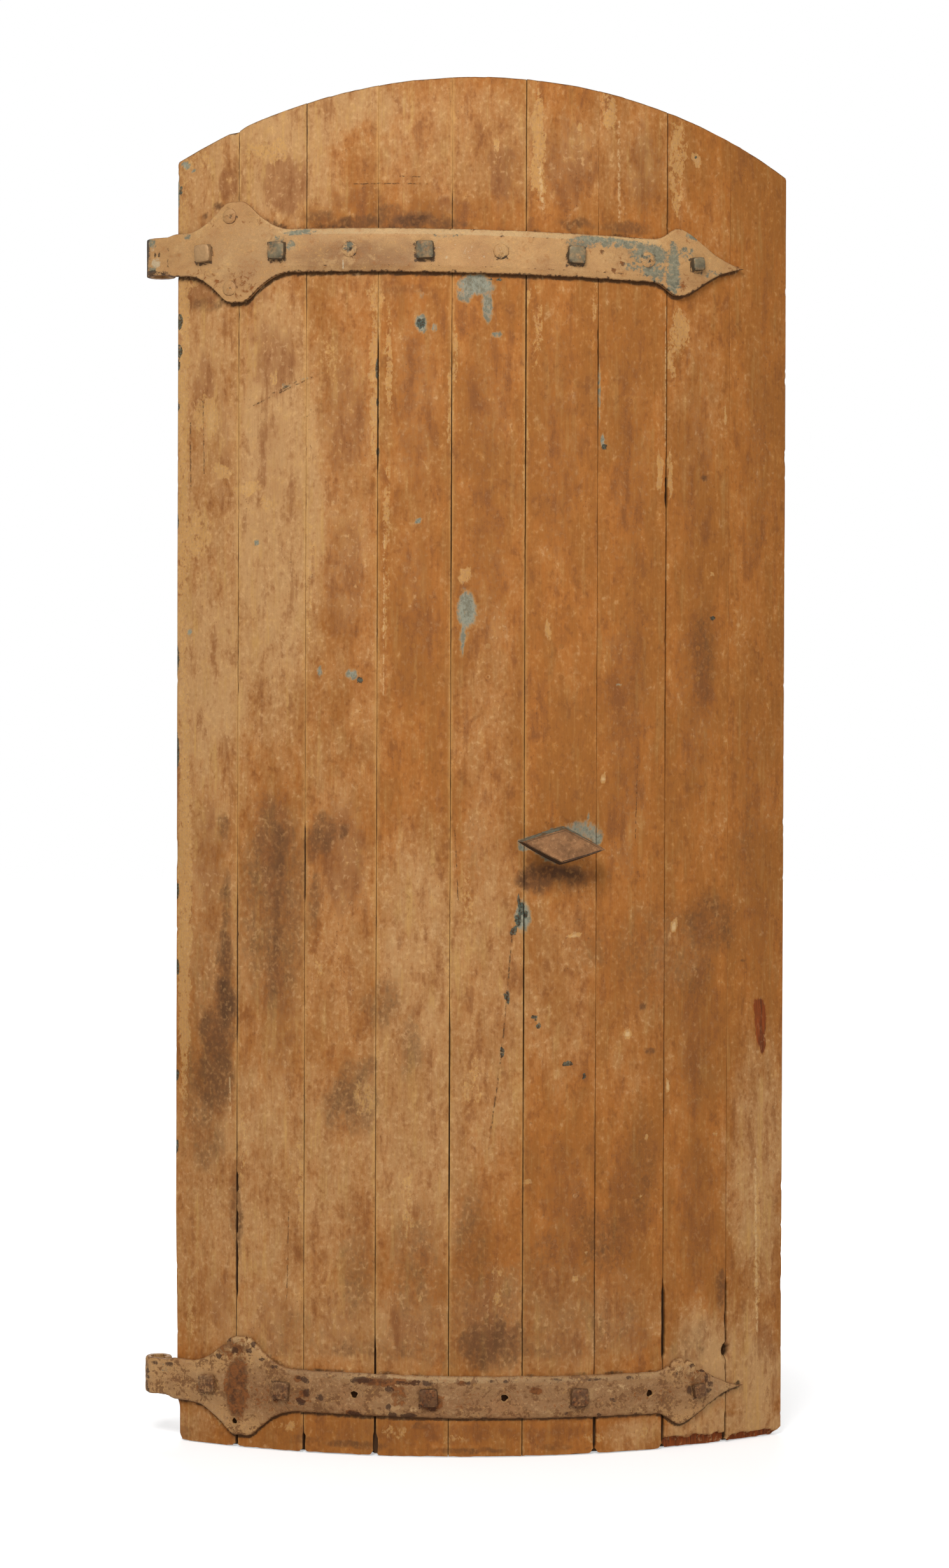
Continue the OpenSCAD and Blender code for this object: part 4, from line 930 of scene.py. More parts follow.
def build_board(index, front, back):
    """One board: worn front with rounded arrises, tongue, groove and broken foot."""
    board = Board(index)
    heights = np.concatenate([np.linspace(0, FOOT_ZONE, 28)[:-1],
                              np.linspace(FOOT_ZONE, CROWN - HEAD_ZONE, 424)[:-1],
                              np.linspace(CROWN - HEAD_ZONE, CROWN, 9)]) / CROWN
    rows = len(heights)
    rough_z = heights * EDGE_HEIGHT
    (edge_l, wear_l, fill_l), (edge_r, wear_r, fill_r) = board.sides(rough_z)
    flat = np.linspace(board.left + FLAT_FROM, board.right - FLAT_FROM, 20)
    columns = np.concatenate([board.left + ARRIS_COLUMNS, flat, board.right - ARRIS_COLUMNS[::-1]])
    share = (columns - board.left) / (board.right - board.left)
    s_front = edge_l[:, None] + (edge_r - edge_l)[:, None] * share[None, :]
    depth = face_relief(s_front, rough_z[:, None], board.seed)
    depth = depth + turned(s_front - edge_l[:, None], wear_l[:, None])
    depth = depth + turned(edge_r[:, None] - s_front, wear_r[:, None])

    def column(value):
        return np.broadcast_to(np.reshape(value, (-1, 1)), (rows, 1))

    ring = board.ring(edge_l, edge_r)
    s = np.concatenate([s_front] + [column(place) for place, _ in ring], axis=1)
    depth = np.concatenate([depth] + [column(deep) for _, deep in ring], axis=1)
    cols, front_cols = s.shape[1], s_front.shape[1]
    on_front = np.arange(cols) < front_cols

    # Heights run from the ragged foot to the arch
    foot, top = board.foot(s, depth), board.head(s, depth)
    z = foot + (top - foot) * heights[:, None]
    raw = board.broken_away(s, z) * on_front
    depth = depth + raw * (0.0055 + 0.0014 * rough(s / 0.004, z / 0.02, 78))
    knot_s, knot_z = spot(*KNOT_PX)
    depth = depth + 0.0105 * on_front * smooth(0.0088, 0.004, np.hypot(s - knot_s, (z - knot_z) * 0.8))
    depth = depth + 0.0012 * on_front * smooth(0.0035, 0.0, top - z)
    if board.last:
        # The lower corner of the closing edge is rounded
        z = z + 0.01 * smooth(0.016, 0.0, board.right - s) * smooth(0.018, 0.0, z) * (s > board.right - 0.016)

    values = {key: field(marks, s, z, *how) for key, (marks, *how) in BOARD_MARKS.items()}
    values["dust"] *= 1 - 0.4 * smooth(0.075, 0.0, z)
    values["teal"] = np.maximum(values["teal"], 0.62 * knob_shadow(s, z, 95))
    values["raw"] = np.maximum(values["raw"], raw)
    values["rim"] = board.pale_rim(s)
    values["edge"] = board.dirty_edge(s, z, top - z, fill_l, fill_r)
    values["seat"] = strap_shadow_and_grime(s, z, 91)
    # Painted shade where the surface lies deep, in the joint gaps and the knot hole, and on the boards behind the
    # empty strap holes
    values["sunk"] = smooth(0.0035, 0.009, depth) * (1 - raw)
    for s_hole, z_hole, _ in LOWER_HOLES:
        shade = smooth(0.013, 0.008, np.hypot(s - s_hole, z - z_hole))
        values["sunk"] = np.maximum(values["sunk"], 1.2 * shade)
    values = {key: array.ravel() for key, array in values.items()}
    values["flat"] = flat_place(s.ravel(), z.ravel(), 3.7 * index)
    points = on_bow(s, z, FACE_R - depth).reshape(-1, 3)
    slots = [0 if j < front_cols - 1 or j == cols - 1 else 1 for j in range(cols)] * (rows - 1) + [1, 1]
    name = "board_%d" % (index + 1)
    obj = make_mesh("worn_" + name, points, tube_faces(rows, cols), values, [front, back], 50.0, slots)
    hand_over(obj, "leaf", "painted_boards", name)


UPPER_MARKS = {
    "teal": [(915, 383, 30, 10, 72), (975, 385, 50, 9, 78), (1010, 400, 26, 22, 85), (1030, 440, 14, 12, 66),
             (900, 396, 16, 14, 58), (1020, 425, 24, 14, 85), (1052, 440, 13, 28, 95), (474, 367, 28, 5, 90),
             (461, 388, 8, 10, 90), (550, 395, 11, 10, 80), (936, 378, 50, 6, 95), (1024, 404, 22, 20, 95),
             (1054, 424, 11, 46, 95), (1088, 372, 18, 8, 90), (905, 408, 18, 12, 50), (440, 380, 10, 14, 60),
             (990, 420, 20, 8, 60), (1075, 400, 14, 14, 60), (1110, 432, 20, 8, 55), (300, 372, 10, 6, 60),
             (700, 372, 30, 4, 50), (245, 385, 8, 9, 85), (247, 424, 7, 6, 75), (234, 402, 8, 40, 70),
             (620, 430, 40, 4, 45), (800, 434, 60, 4, 45)],
    "rust": [(960, 405, 50, 18, 30), (1075, 395, 20, 20, 35), (1080, 440, 18, 16, 30), (943, 397, 5, 5, 95),
             (975, 416, 5, 5, 95), (962, 425, 5, 5, 95), (395, 440, 20, 22, 50), (350, 350, 30, 12, 40),
             (372, 450, 40, 30, 45), (1060, 450, 20, 12, 50), (1150, 425, 20, 6, 50), (545, 396, 14, 12, 50),
             (783, 398, 14, 12, 45), (330, 430, 26, 14, 40), (400, 350, 30, 10, 40)],
    "pale": [(542, 418, 2, 11, 75), (720, 398, 60, 16, 35), (251, 415, 8, 9, 80), (246, 392, 4, 8, 60)],
    "dark": [(234, 402, 9, 44, 95), (245, 371, 18, 4, 95), (245, 430, 18, 4, 95), (266, 430, 10, 3, 80),
             # The mark at (788, 402) is a painted shadow below a screw head
             (250, 403, 2, 5, 95), (256, 403, 2, 5, 95), (270, 400, 2, 32, 42), (788, 402, 5, 3, 90)],
    "dust": [(430, 400, 180, 60, 60), (600, 400, 90, 30, 60)],
    "soil": [(560, 405, 110, 30, 75), (400, 440, 60, 40, 34), (640, 400, 60, 26, 50), (330, 410, 40, 30, 10),
             (1000, 410, 60, 26, 45), (880, 420, 60, 20, 40), (1090, 440, 50, 20, 40), (270, 400, 30, 30, 35)],
}
LOWER_MARKS = {
    "teal": [(680, 2190, 10, 6, 30), (262, 2150, 8, 8, 35)],
    "rust": [(376, 2178, 22, 60, 100), (366, 2116, 40, 18, 75), (610, 2171, 62, 8, 90), (627, 2191, 14, 24, 85),
             (678, 2200, 22, 20, 95), (470, 2165, 8, 7, 90), (480, 2188, 8, 7, 90), (474, 2200, 8, 6, 90),
             (555, 2219, 14, 6, 90), (725, 2172, 9, 5, 90), (841, 2183, 11, 7, 95), (913, 2197, 13, 14, 80),
             (772, 2230, 10, 5, 85), (1095, 2160, 26, 26, 60), (1040, 2190, 30, 20, 45), (900, 2200, 90, 20, 34),
             (440, 2195, 80, 26, 48), (800, 2196, 60, 20, 36), (740, 2200, 40, 22, 40), (1000, 2190, 40, 14, 45),
             (320, 2175, 12, 14, 60)],
    "pale": [(375, 2105, 8, 6, 80), (386, 2112, 7, 5, 80), (340, 2121, 7, 5, 70), (366, 2118, 6, 5, 70),
             (394, 2105, 6, 5, 70), (628, 2176, 10, 6, 50), (1085, 2135, 8, 5, 70), (1064, 2149, 8, 6, 70),
             (1090, 2163, 6, 6, 60), (850, 2200, 40, 10, 35), (960, 2180, 40, 10, 40), (650, 2214, 10, 5, 60)],
    "dark": [(347, 2128, 6, 5, 90), (363, 2105, 5, 5, 90), (372, 2121, 6, 6, 90), (394, 2121, 7, 7, 90),
             (401, 2112, 5, 5, 80), (414, 2134, 6, 4, 80), (433, 2147, 8, 4, 80), (472, 2164, 6, 4, 80),
             (501, 2196, 4, 6, 80), (554, 2219, 9, 4, 80), (611, 2182, 5, 6, 80), (611, 2209, 5, 5, 90),
             (618, 2223, 8, 5, 100), (643, 2223, 13, 5, 100), (563, 2169, 14, 5, 80), (640, 2173, 22, 4, 70),
             (238, 2165, 5, 34, 60), (270, 2142, 8, 4, 80), (248, 2140, 6, 4, 70), (1078, 2183, 5, 8, 90),
             (1099, 2152, 7, 5, 90), (1075, 2135, 5, 4, 80), (1109, 2183, 6, 5, 80), (1095, 2142, 6, 4, 80),
             (1112, 2173, 6, 5, 80), (985, 2164, 8, 4, 70), (961, 2199, 6, 4, 70), (889, 2220, 5, 3, 80),
             (772, 2170, 8, 3, 70), (761, 2228, 8, 4, 80), (913, 2206, 8, 5, 70), (678, 2212, 10, 6, 70),
             (930, 2166, 20, 3, 60), (870, 2168, 16, 3, 60), (480, 2166, 7, 6, 90), (484, 2186, 6, 8, 90),
             (475, 2201, 9, 6, 95), (506, 2195, 5, 7, 80), (560, 2222, 12, 6, 95), (615, 2184, 6, 7, 80),
             (570, 2168, 22, 6, 80), (660, 2172, 30, 5, 70), (735, 2172, 8, 4, 80), (795, 2170, 6, 3, 70),
             (815, 2228, 9, 3, 70), (940, 2222, 10, 3, 60), (1000, 2222, 10, 3, 60), (1085, 2145, 9, 4, 80),
             (1105, 2165, 4, 9, 80), (1060, 2158, 5, 5, 70), (1118, 2158, 5, 6, 70)],
    "dust": [(700, 2200, 500, 50, 75)],
    "soil": [(470, 2190, 160, 60, 78), (900, 2195, 300, 50, 68), (680, 2200, 120, 40, 75),
             (300, 2190, 50, 40, 50)],
}


def strap_path(strap):
    """Stations from the point to the rolled eye: arc length, place in plan, outward way, height, half height."""
    bends = (strap.tip - 0.0005, strap.point - 0.012, strap.lobe + LOBE_REACH + 0.004,
             strap.lobe - LOBE_REACH - 0.004, EDGE_S)
    runs = zip(bends, bends[1:], (74, 190, 96, 10))
    along = np.concatenate([np.linspace(start, end, count)[:-1] for start, end, count in runs] + [[EDGE_S]])
    along = np.maximum.accumulate(along[::-1])[::-1]
    neck = np.linspace(0, EYE_REACH, 18)[1:]
    roll = np.radians(np.linspace(0, EYE_TURN, 58)[1:])
    tangent = np.array([math.cos(-HALF), math.sin(-HALF)])
    normal = np.array([math.sin(-HALF), -math.cos(-HALF)])
    base = np.array([AXIS_X, AXIS_Y])
    angles = along / FACE_R
    plan = np.stack([AXIS_X + STRAP_MID * np.sin(angles), AXIS_Y - STRAP_MID * np.cos(angles)], axis=1)
    outward = np.stack([np.sin(angles), -np.cos(angles)], axis=1)
    neck_plan = base + STRAP_MID * normal - neck[:, None] * tangent
    eye = base + (STRAP_MID - EYE_MID) * normal - EYE_REACH * tangent
    roll_out = np.cos(roll)[:, None] * normal - np.sin(roll)[:, None] * tangent
    plan = np.concatenate([plan, neck_plan, eye + EYE_MID * roll_out])
    outward = np.concatenate([outward, np.repeat(normal[None], len(neck), 0), roll_out])
    run = np.concatenate([along, EDGE_S - neck, EDGE_S - EYE_REACH - EYE_MID * roll])
    height = np.concatenate([strap.line(along), strap.z - strap.slope * (neck_plan[:, 0] - AXIS_X),
                             np.full(len(roll), strap.z - strap.slope * (eye[0] - AXIS_X))])
    taper = smooth(EDGE_S + 0.004, EDGE_S - 0.012, run)
    half = strap.half(np.maximum(run, EDGE_S + 0.0001))
    return run, plan, outward, height, half * (1 - taper) + EYE_HALF * taper


def cut_holes(obj, holes, material):
    """Cuts empty screw holes with worn rims through the iron."""
    for k, (s, z, radius) in enumerate(holes):
        ring = []
        for end in (-0.012, 0.012):
            for t in np.linspace(0, 2 * math.pi, 22, endpoint=False):
                wobble = radius * (1 + 0.1 * math.sin(3 * t + k) + 0.06 * math.sin(5 * t + 2 * k))
                ring.append((wobble * math.cos(t), wobble * math.sin(t), end))
        cutter = stood_on_bow((np.array(ring), tube_faces(2, 22)), s, z, STRAP_MID)
        cut = make_mesh("hole_cutter", *cutter, {}, [material], 40.0)
        step = obj.modifiers.new("hole", "BOOLEAN")
        step.operation = "DIFFERENCE"
        step.solver = "EXACT"
        step.object = cut
        bpy.context.view_layer.update()
        graph = bpy.context.evaluated_depsgraph_get()
        cleaned = bpy.data.meshes.new_from_object(obj.evaluated_get(graph))
        obj.modifiers.clear()
        obj.data = cleaned
        bpy.data.objects.remove(cut)


def build_strap(strap, marks, holes, material):
    """A strap as one forged ribbon: point, lobe, straight neck and an eye rolled to the back."""
    heavy, seed = strap.heavy, strap.seed
    run, plan, outward, height, half = strap_path(strap)
    stations = len(run)

    # Cross section: lower edge to upper edge on the front, then the back
    rim = np.array([0.0, 0.02, 0.05, 0.1, 0.17, 0.24, 0.28, 0.32])
    v = np.concatenate([rim - 1, np.linspace(-0.6, 0.6, 16), (1 - rim)[::-1]])
    upper_cut, lower_cut = strap.eaten(run, half)
    z_high = height + half - upper_cut
    z_low = height - half + lower_cut
    z_front = z_low[:, None] + (z_high - z_low)[:, None] * (v[None, :] + 1) / 2
    s_front = np.repeat(run[:, None], len(v), 1)
    thick = STRAP_OUT - STRAP_IN
    from_edge = np.minimum(z_high[:, None] - z_front, z_front - z_low[:, None])
    straight = smooth(strap.lobe + 0.05, strap.lobe + 0.085, s_front)
    straight = straight * smooth(strap.point + 0.012, strap.point - 0.02, s_front)
    slope_w = 0.0085
    drop = turned(from_edge, 0.0042 if heavy else 0.0022)
    drop = drop + (0.0018 if heavy else 0.0026) * straight * np.clip(1 - from_edge / slope_w, 0, 1)
    drop = drop + (0.0008 if heavy else 0.0003) * (1 + rough(s_front / 0.03, z_front / 0.03, seed + 4))
    if heavy:
        swell = np.zeros_like(s_front)
        for s_bolt in strap.bolts:
            around = np.hypot(s_front - s_bolt, z_front - strap.line(s_bolt))
            swell = np.maximum(swell, smooth(0.03, 0.014, around))
        drop = drop + 0.0013 * (1 - swell)
    drop = drop + (0.0005 if heavy else 0.00012) * (1 + rough(s_front / 0.006, z_front / 0.006, seed + 6))
    values = {key: field(spots, s_front.ravel(), z_front.ravel(), seed + 7, (0.002, 0.002)).reshape(s_front.shape)
              for key, spots in marks.items()}
    # Upper chamfer: dust with a painted highlight
    shelf = straight * smooth(1.05, 0.9, (z_high[:, None] - z_front) / slope_w)
    crease = straight * np.exp(-((from_edge - slope_w) / 0.0011) ** 2)
    lower = np.exp(-(z_front - z_low[:, None]) / 0.003)

    def darken(amount):
        values["dark"] = np.maximum(values["dark"], amount)

    # Painted shade along the chamfer creases and along the lower edge
    darken((0.3 if heavy else 0.34) * crease)
    darken((0.45 if heavy else 0.62) * lower)
    broken = smooth(-0.15, 0.35, rough(s_front / 0.022, 6.1, seed + 8))
    upper = np.exp(-(z_high[:, None] - z_front) / 0.0016) * broken
    darken((0.45 if heavy else 0.58) * upper)
    values["shelf"] = shelf * (0.75 if heavy else 0.85)
    # Painted shadow with grime round each bolt head, set towards the lower left
    for s_bolt in strap.bolts:
        z_bolt = strap.line(s_bolt)
        reach = 0.0102 if s_bolt > strap.point else 0.0132
        away = np.maximum(np.abs(s_front - s_bolt + 0.0009), np.abs(z_front - z_bolt + 0.002))
        darken((0.45 if heavy else 0.7) * smooth(reach + 0.0028, reach - 0.0012, away))
    # Painted shade in the crevice round each screw head
    for s_screw, z_screw in screw_places(strap):
        away = np.hypot(s_front - s_screw, z_front - z_screw)
        darken(0.46 * np.exp(-((away - 0.0113) / 0.0012) ** 2))
    if heavy:
        pits = smooth(0.0, 0.6, rough(s_front / 0.009, z_front / 0.009, seed + 9))
        drop = drop + 0.0022 * values["rust"] * pits
        drop = drop + 0.0012 * smooth(0.25, 0.65, rough(s_front / 0.005, z_front / 0.005, seed + 10))
    drop = np.minimum(drop, 0.78 * thick)
    ease = smooth(EDGE_S - 0.02, EDGE_S - 0.03, s_front)
    drop = drop * (1 - 0.3 * ease)
    edge = np.exp(-from_edge / 0.0035)
    outer = thick / 2 - drop
    back_v = np.array([0.97, 0.4, -0.4, -0.97])
    z_back = z_low[:, None] + (z_high - z_low)[:, None] * (back_v[None, :] + 1) / 2
    inner = np.full(z_back.shape, -thick / 2 + 0.0002)
    z_all = np.concatenate([z_front, z_back], axis=1)
    out_all = np.concatenate([outer, inner], axis=1)
    cols = z_all.shape[1]
    points = np.empty((stations, cols, 3))
    points[..., :2] = plan[:, None, :] + outward[:, None, :] * out_all[..., None]
    points[..., 2] = FOOT + z_all

    def with_back(array, fill):
        return np.concatenate([array, np.full(z_back.shape, fill)], axis=1).ravel()

    spread = {key: with_back(array, 0.0) for key, array in values.items()}
    spread["edge"] = with_back(edge, 0.6)
    spread["heavy"] = np.full(spread["edge"].shape, 1.0 if heavy else 0.0)
    s_all = np.repeat(run[:, None], cols, 1)
    spread["flat"] = flat_place(s_all.ravel(), z_all.ravel(), 50.0 if heavy else 60.0)
    faces = tube_faces(stations, cols)
    obj = make_mesh("forged_" + strap.name, points.reshape(-1, 3), faces, spread, [material], 48.0)
    cut_holes(obj, holes, material)
    hand_over(obj, "leaf", "painted_strap_iron", strap.name, strap.name + "_eye")


def worn_block(width, height, seed, steps=9):
    """Points and faces of a forged square head that stands on z = 0."""
    u = np.linspace(-1, 1, steps)
    soft = np.sign(u) * np.abs(u) ** 0.8
    gx, gy = np.meshgrid(soft, soft, indexing="ij")
    pull = 1 - 0.07 * (gx ** 4) * (gy ** 4) - 0.03 * (gx ** 2 + gy ** 2) / 2
    dome = 1 - 0.1 * np.maximum(np.abs(gx), np.abs(gy)) ** 4 - 0.16 * (np.abs(gx) * np.abs(gy)) ** 3
    bumps = 0.05 * rough(gx * 1.7 + seed, gy * 1.7, seed)
    wide, tall = gx * pull * width / 2, gy * pull * width / 2
    crown = np.stack([wide * 0.93, tall * 0.93, height * (dome + bumps)], axis=-1)
    border = [(i, 0) for i in range(steps)] + [(steps - 1, j) for j in range(1, steps)]
    border += [(i, steps - 1) for i in range(steps - 2, -1, -1)] + [(0, j) for j in range(steps - 2, 0, -1)]
    points = [crown.reshape(-1, 3)]
    faces = []
    for i in range(steps - 1):
        for j in range(steps - 1):
            a = i * steps + j
            faces.append((a, a + steps, a + steps + 1, a + 1))
    previous = [i * steps + j for i, j in border]
    count = steps * steps
    for level, grow in ((0.8, 1.0), (0.45, 1.03), (0.0, 1.05)):
        ring = np.array([(wide[i, j] * grow, tall[i, j] * grow, height * level) for i, j in border])
        x, y = ring[:, :1] / width * 6, ring[:, 1:2] / width * 6
        ring[:, :2] *= 1 + 0.025 * noise(x + seed, y + level * 5, seed + 3)
        points.append(ring)
        current = list(range(count, count + len(border)))
        count += len(border)
        for k in range(len(border)):
            m = (k + 1) % len(border)
            faces.append((previous[k], current[k], current[m], previous[m]))
        previous = current
    faces.append(tuple(previous))
    return np.concatenate(points), faces


def turned_part(profile, sides):
    """Points and faces of a lathe-turned part from (radius, height) pairs."""
    turns = [2 * math.pi * k / sides for k in range(sides)]
    points = [(radius * math.cos(t), radius * math.sin(t), height) for radius, height in profile for t in turns]
    return np.array(points), tube_faces(len(profile), sides)


def thread(radius, depth, start, pitch, end):
    """Profile of a threaded length: roots and crests in turn."""
    return [(radius - (depth if k % 2 else 0.0), start + pitch * k) for k in range(1, end)]


def stood_on_bow(shape, s, z, r, turn=0.0):
    """Moves a shape that stands on z = 0 so that it stands outwards on the bow."""
    points, faces = shape
    angle = s / FACE_R
    across = np.array([math.cos(angle), math.sin(angle), 0.0])
    outward = np.array([math.sin(angle), -math.cos(angle), 0.0])
    up = np.array([0.0, 0.0, 1.0])
    c, d = math.cos(turn), math.sin(turn)
    x = points[:, :1] * c - points[:, 1:2] * d
    y = points[:, :1] * d + points[:, 1:2] * c
    return on_bow(s, z, r) + x * across + y * up + points[:, 2:] * outward, faces


def joined(parts):
    """Points and faces of several shapes as one."""
    points, faces, count = [], [], 0
    for pts, polys in parts:
        points.append(pts)
        faces += [tuple(v + count for v in poly) for poly in polys]
        count += len(pts)
    return np.concatenate(points), faces


def on_face(points):
    """Arc length and height above the foot of points on the bow."""
    return np.arctan2(points[:, 0] - AXIS_X, AXIS_Y - points[:, 1]) * FACE_R, points[:, 2] - FOOT


# Back of the ledges, and where the bolts end past washer and nut
LEDGE_IN = BACK_R - 0.0002 - 0.034
BOLT_BACK = LEDGE_IN - 0.0003 - 0.003 - 0.011 - 0.005
BOLT_R = 0.00635
HEAD_W = 0.024
POINT_HEAD_W = 0.018
HEAD_H = 0.0088
# Degrees by which each bolt head is turned
HEAD_TURN = (4, -3, 2, -2, 5)
# How much paint each bolt head has kept, upper strap and lower strap
HEAD_PAINT = ((1.2, 0.4, 0.38, 0.42, 0.34), (0.45, 0.44, 0.2, 0.36, 0.38))


def build_bolts(strap, material):
    """Five square-headed bolts through one strap."""
    parts, painted, flank = [], [], []
    for i, s in enumerate(strap.bolts):
        width = POINT_HEAD_W if i == 4 else HEAD_W
        low = 0.82 if strap.heavy else 1.0
        head = worn_block(width * 0.97, HEAD_H * low, 900 + 7 * i + (50 if strap.heavy else 0))
        turn = math.radians(HEAD_TURN[i]) * (1.5 if strap.heavy else 1.0)
        z = strap.line(s)
        parts.append(stood_on_bow(head, s, z, STRAP_OUT - 0.0009, turn))
        shank = turned_part([(BOLT_R - 0.0012, 0.0), (BOLT_R - 0.0002, 0.0012)] +
                            thread(BOLT_R, 0.0007, 0.0012, 0.0011, 14) +
                            [(BOLT_R, 0.018), (BOLT_R, STRAP_OUT - BOLT_BACK)], 20)
        parts.append(stood_on_bow(shank, s, z, BOLT_BACK))
        share = HEAD_PAINT[strap.heavy][i]
        across = np.max(np.abs(head[0][:, :2]), axis=1) / (width / 2)
        patchy = 0.3 * rough(head[0][:, 0] / 0.006 + 3 * i, head[0][:, 1] / 0.006, 930 + i)
        painted += list(share + patchy + 0.12 * smooth(0.75, 0.95, across)) + [-1.0] * len(shank[0])
        # Painted shade on the sides of each head, less on the first bolt and on the rusted strap
        low_down = (head[0][:, 2] < 0.0072 * low) * (0.55 if i == 0 else 1.0)
        flank += list(low_down * (0.6 if strap.heavy else 1.0)) + [0.0] * len(shank[0])
    points, faces = joined(parts)
    values = {"painted": np.array(painted), "flank": np.array(flank)}
    obj = make_mesh("square_bolts_" + strap.name, points, faces, values, [material], 42.0)
    hand_over(obj, "leaf", "fastener_iron", strap.name + "_bolts")


# Domed screws: radius and height of a head, half width and depth of its slot
SCREW_R = 0.0104
SCREW_H = 0.003
SLOT_HALF = 0.0011
SLOT_DEEP = 0.0012
# Lie of each screw's slot in radians, and the share of blue-green, rust and pale paint on it
SCREW_TURN = (0.4, 1.9, 2.7, 1.1, 0.2)
SCREW_PAINT = [(0.5, 0.5, 0.0), (0.42, 0.0, 0.35), (0.5, 0.3, 0.0), (0.0, 0.0, 0.0), (0.0, 0.0, 0.0)]


def build_screws(material):
    """Domed screws left in the upper strap, painted over with it and chipped."""
    parts, chips = [], []
    sides = 40
    for i, (s, z) in enumerate(screw_places(UPPER)):
        rings = []
        teal, rust, pale = SCREW_PAINT[i]
        for share in (1.0, 0.98, 0.9, 0.78, 0.62, 0.46, 0.3, 0.15):
            for k in range(sides):
                t = 2 * math.pi * k / sides
                radius = SCREW_R * share * (1 + 0.02 * math.sin(3 * t + i))
                x, y = radius * math.cos(t), radius * math.sin(t)
                high = SCREW_H * math.sqrt(max(1 - share ** 2, 0.0))
                across = y * math.cos(SCREW_TURN[i]) - x * math.sin(SCREW_TURN[i])
                if abs(across) < SLOT_HALF and share < 0.95:
                    high = max(high - SLOT_DEEP, 0.0004)
                rings.append((x, y, high))
                hollow = smooth(0.0042, 0.0014, math.hypot(x - 0.0022, y + 0.0012))
                low = smooth(0.0, -0.008, y)
                # The dark ring at the foot of each dome and the dark lower half of the second screw are painted
                # shade
                dark = max(0.66 * hollow, 0.62 if share > 0.95 else 0.0, 0.75 * low * (i == 1))
                chips.append((teal * (low if i == 1 else 1 - 0.4 * low), rust, pale * (1 - low), dark))
        faces = tube_faces(8, sides, caps=False) + [tuple(7 * sides + k for k in range(sides))]
        parts.append(stood_on_bow((np.array(rings), faces), s, z, STRAP_OUT - 0.0006))
        shank = turned_part([(0.0008, 0.0), (0.0034, 0.008), (0.0034, 0.0315)], 16)
        parts.append(stood_on_bow(shank, s, z, FACE_R - 0.022))
        chips += [(0.0, 1.0, 0.0, 0.0)] * len(shank[0])
    points, faces = joined(parts)
    zero = np.zeros(len(points))
    values = dict(zip(("teal", "rust", "pale", "dark"), np.array(chips, float).T))
    values.update({"flat": flat_place(*on_face(points), 60.0), "dust": zero + 0.4,
                   "soil": zero + 0.3, "shelf": zero, "edge": zero, "heavy": zero})
    obj = make_mesh("domed_screws", points, faces, values, [material], 40.0)
    hand_over(obj, "leaf", "fastener_iron", "upper_strap_screws")


# Height of the middle ledge's nails, and how far each row lies from it
NAILS_Z = 1.057
NAILS_APART = 0.0205
# Radius and height of a nail from its point to its worn head
NAIL = [(0.0006, 0.0), (0.0021, 0.006), (0.0021, 0.0508), (0.003, 0.0516), (0.0037, 0.0521), (0.0038, 0.0524),
        (0.0034, 0.0526), (0.0018, 0.05255), (0.0004, 0.0525)]


def build_nails(material):
    """Flush nails that hold the middle ledge, painted over with the boards."""
    parts = []
    for index in range(BOARDS):
        s = (-HALF + (index + 0.5) * BOARD_ANGLE) * FACE_R
        for z in (NAILS_Z - NAILS_APART, NAILS_Z + NAILS_APART):
            sunk = face_relief(s, z, Board(index).seed)
            parts.append(stood_on_bow(turned_part(NAIL, 18), s, z, FACE_R - sunk - 0.0525))
    points, faces = joined(parts)
    s_flat, z_flat = on_face(points)
    zero = np.zeros(len(points))
    values = dict.fromkeys(("bare", "rim", "teal", "green", "raw", "edge", "seat", "sunk"), zero)
    for key in ("dust", "worn"):
        marks, seed, warp = BOARD_MARKS[key]
        values[key] = field(marks, s_flat, z_flat, seed, warp)
    values.update({"flat": flat_place(s_flat, z_flat, 0.0), "dark": zero + 0.2})
    obj = make_mesh("painted_nails", points, faces, values, [material], 50.0)
    hand_over(obj, "leaf", "fastener_iron", "middle_ledge_nails")


def knob_metal():
    """Painted iron worn through to brown metal, grey-green on the upper sides, with painted shade on the lower
    sides and the neck.
    """
    n = Paint("knob_metal")
    place = n.place()
    cloud = n.noise(place, (60, 60, 60), 5, 0.6)
    chip = n.noise(place, (170, 170, 170), 6, 0.66, 0.3)
    grit = n.noise(place, (500, 500, 500), 3, 0.6)
    n.colour = n.mix(n.ramp(cloud, 0.36, 0.62), linear(156, 110, 70), linear(130, 90, 56))
    n.coat(n.ramp(chip, 0.54, 0.64, 0.0, 0.7), linear(112, 78, 48))
    n.coat(n.ramp(chip, 0.44, 0.36, 0.0, 0.6), linear(180, 134, 88))
    rim = n.ramp(n.add("rim", chip, 0.7), 0.42, 0.78)
    n.coat(rim, linear(92, 66, 42), 0.8)
    # The sides: painted shade below, grey-green where lit above
    side = n.ramp(n.add("side", chip, 0.5), 0.35, 0.7)
    above = n.mix(n.ramp(n.add(chip, cloud, 0.6), 0.42, 0.6), linear(104, 108, 94), linear(96, 76, 52))
    lit = n.ramp(n.add("lit", chip, 0.4), 0.35, 0.65)
    n.coat(side, n.mix(lit, linear(54, 40, 28), above))
    n.shade(n.ramp(grit, 0.2, 0.8, 0.9, 1.08))
    height = n.add(n.times(grit, 0.4), chip, 0.9)
    return n.finish(n.ramp(chip, 0.3, 0.7, 0.52, 0.74), height, (0.5, 0.0008), 0.05, 0.25)


# Radius and height of the knob's collar and neck
KNOB_NECK = [(0.0142, 0.0), (0.0149, 0.0006), (0.0149, 0.0046), (0.0138, 0.0055), (0.0106, 0.0062),
             (0.0098, 0.009), (0.0096, 0.015), (0.01, 0.0205), (0.01, 0.0245)]


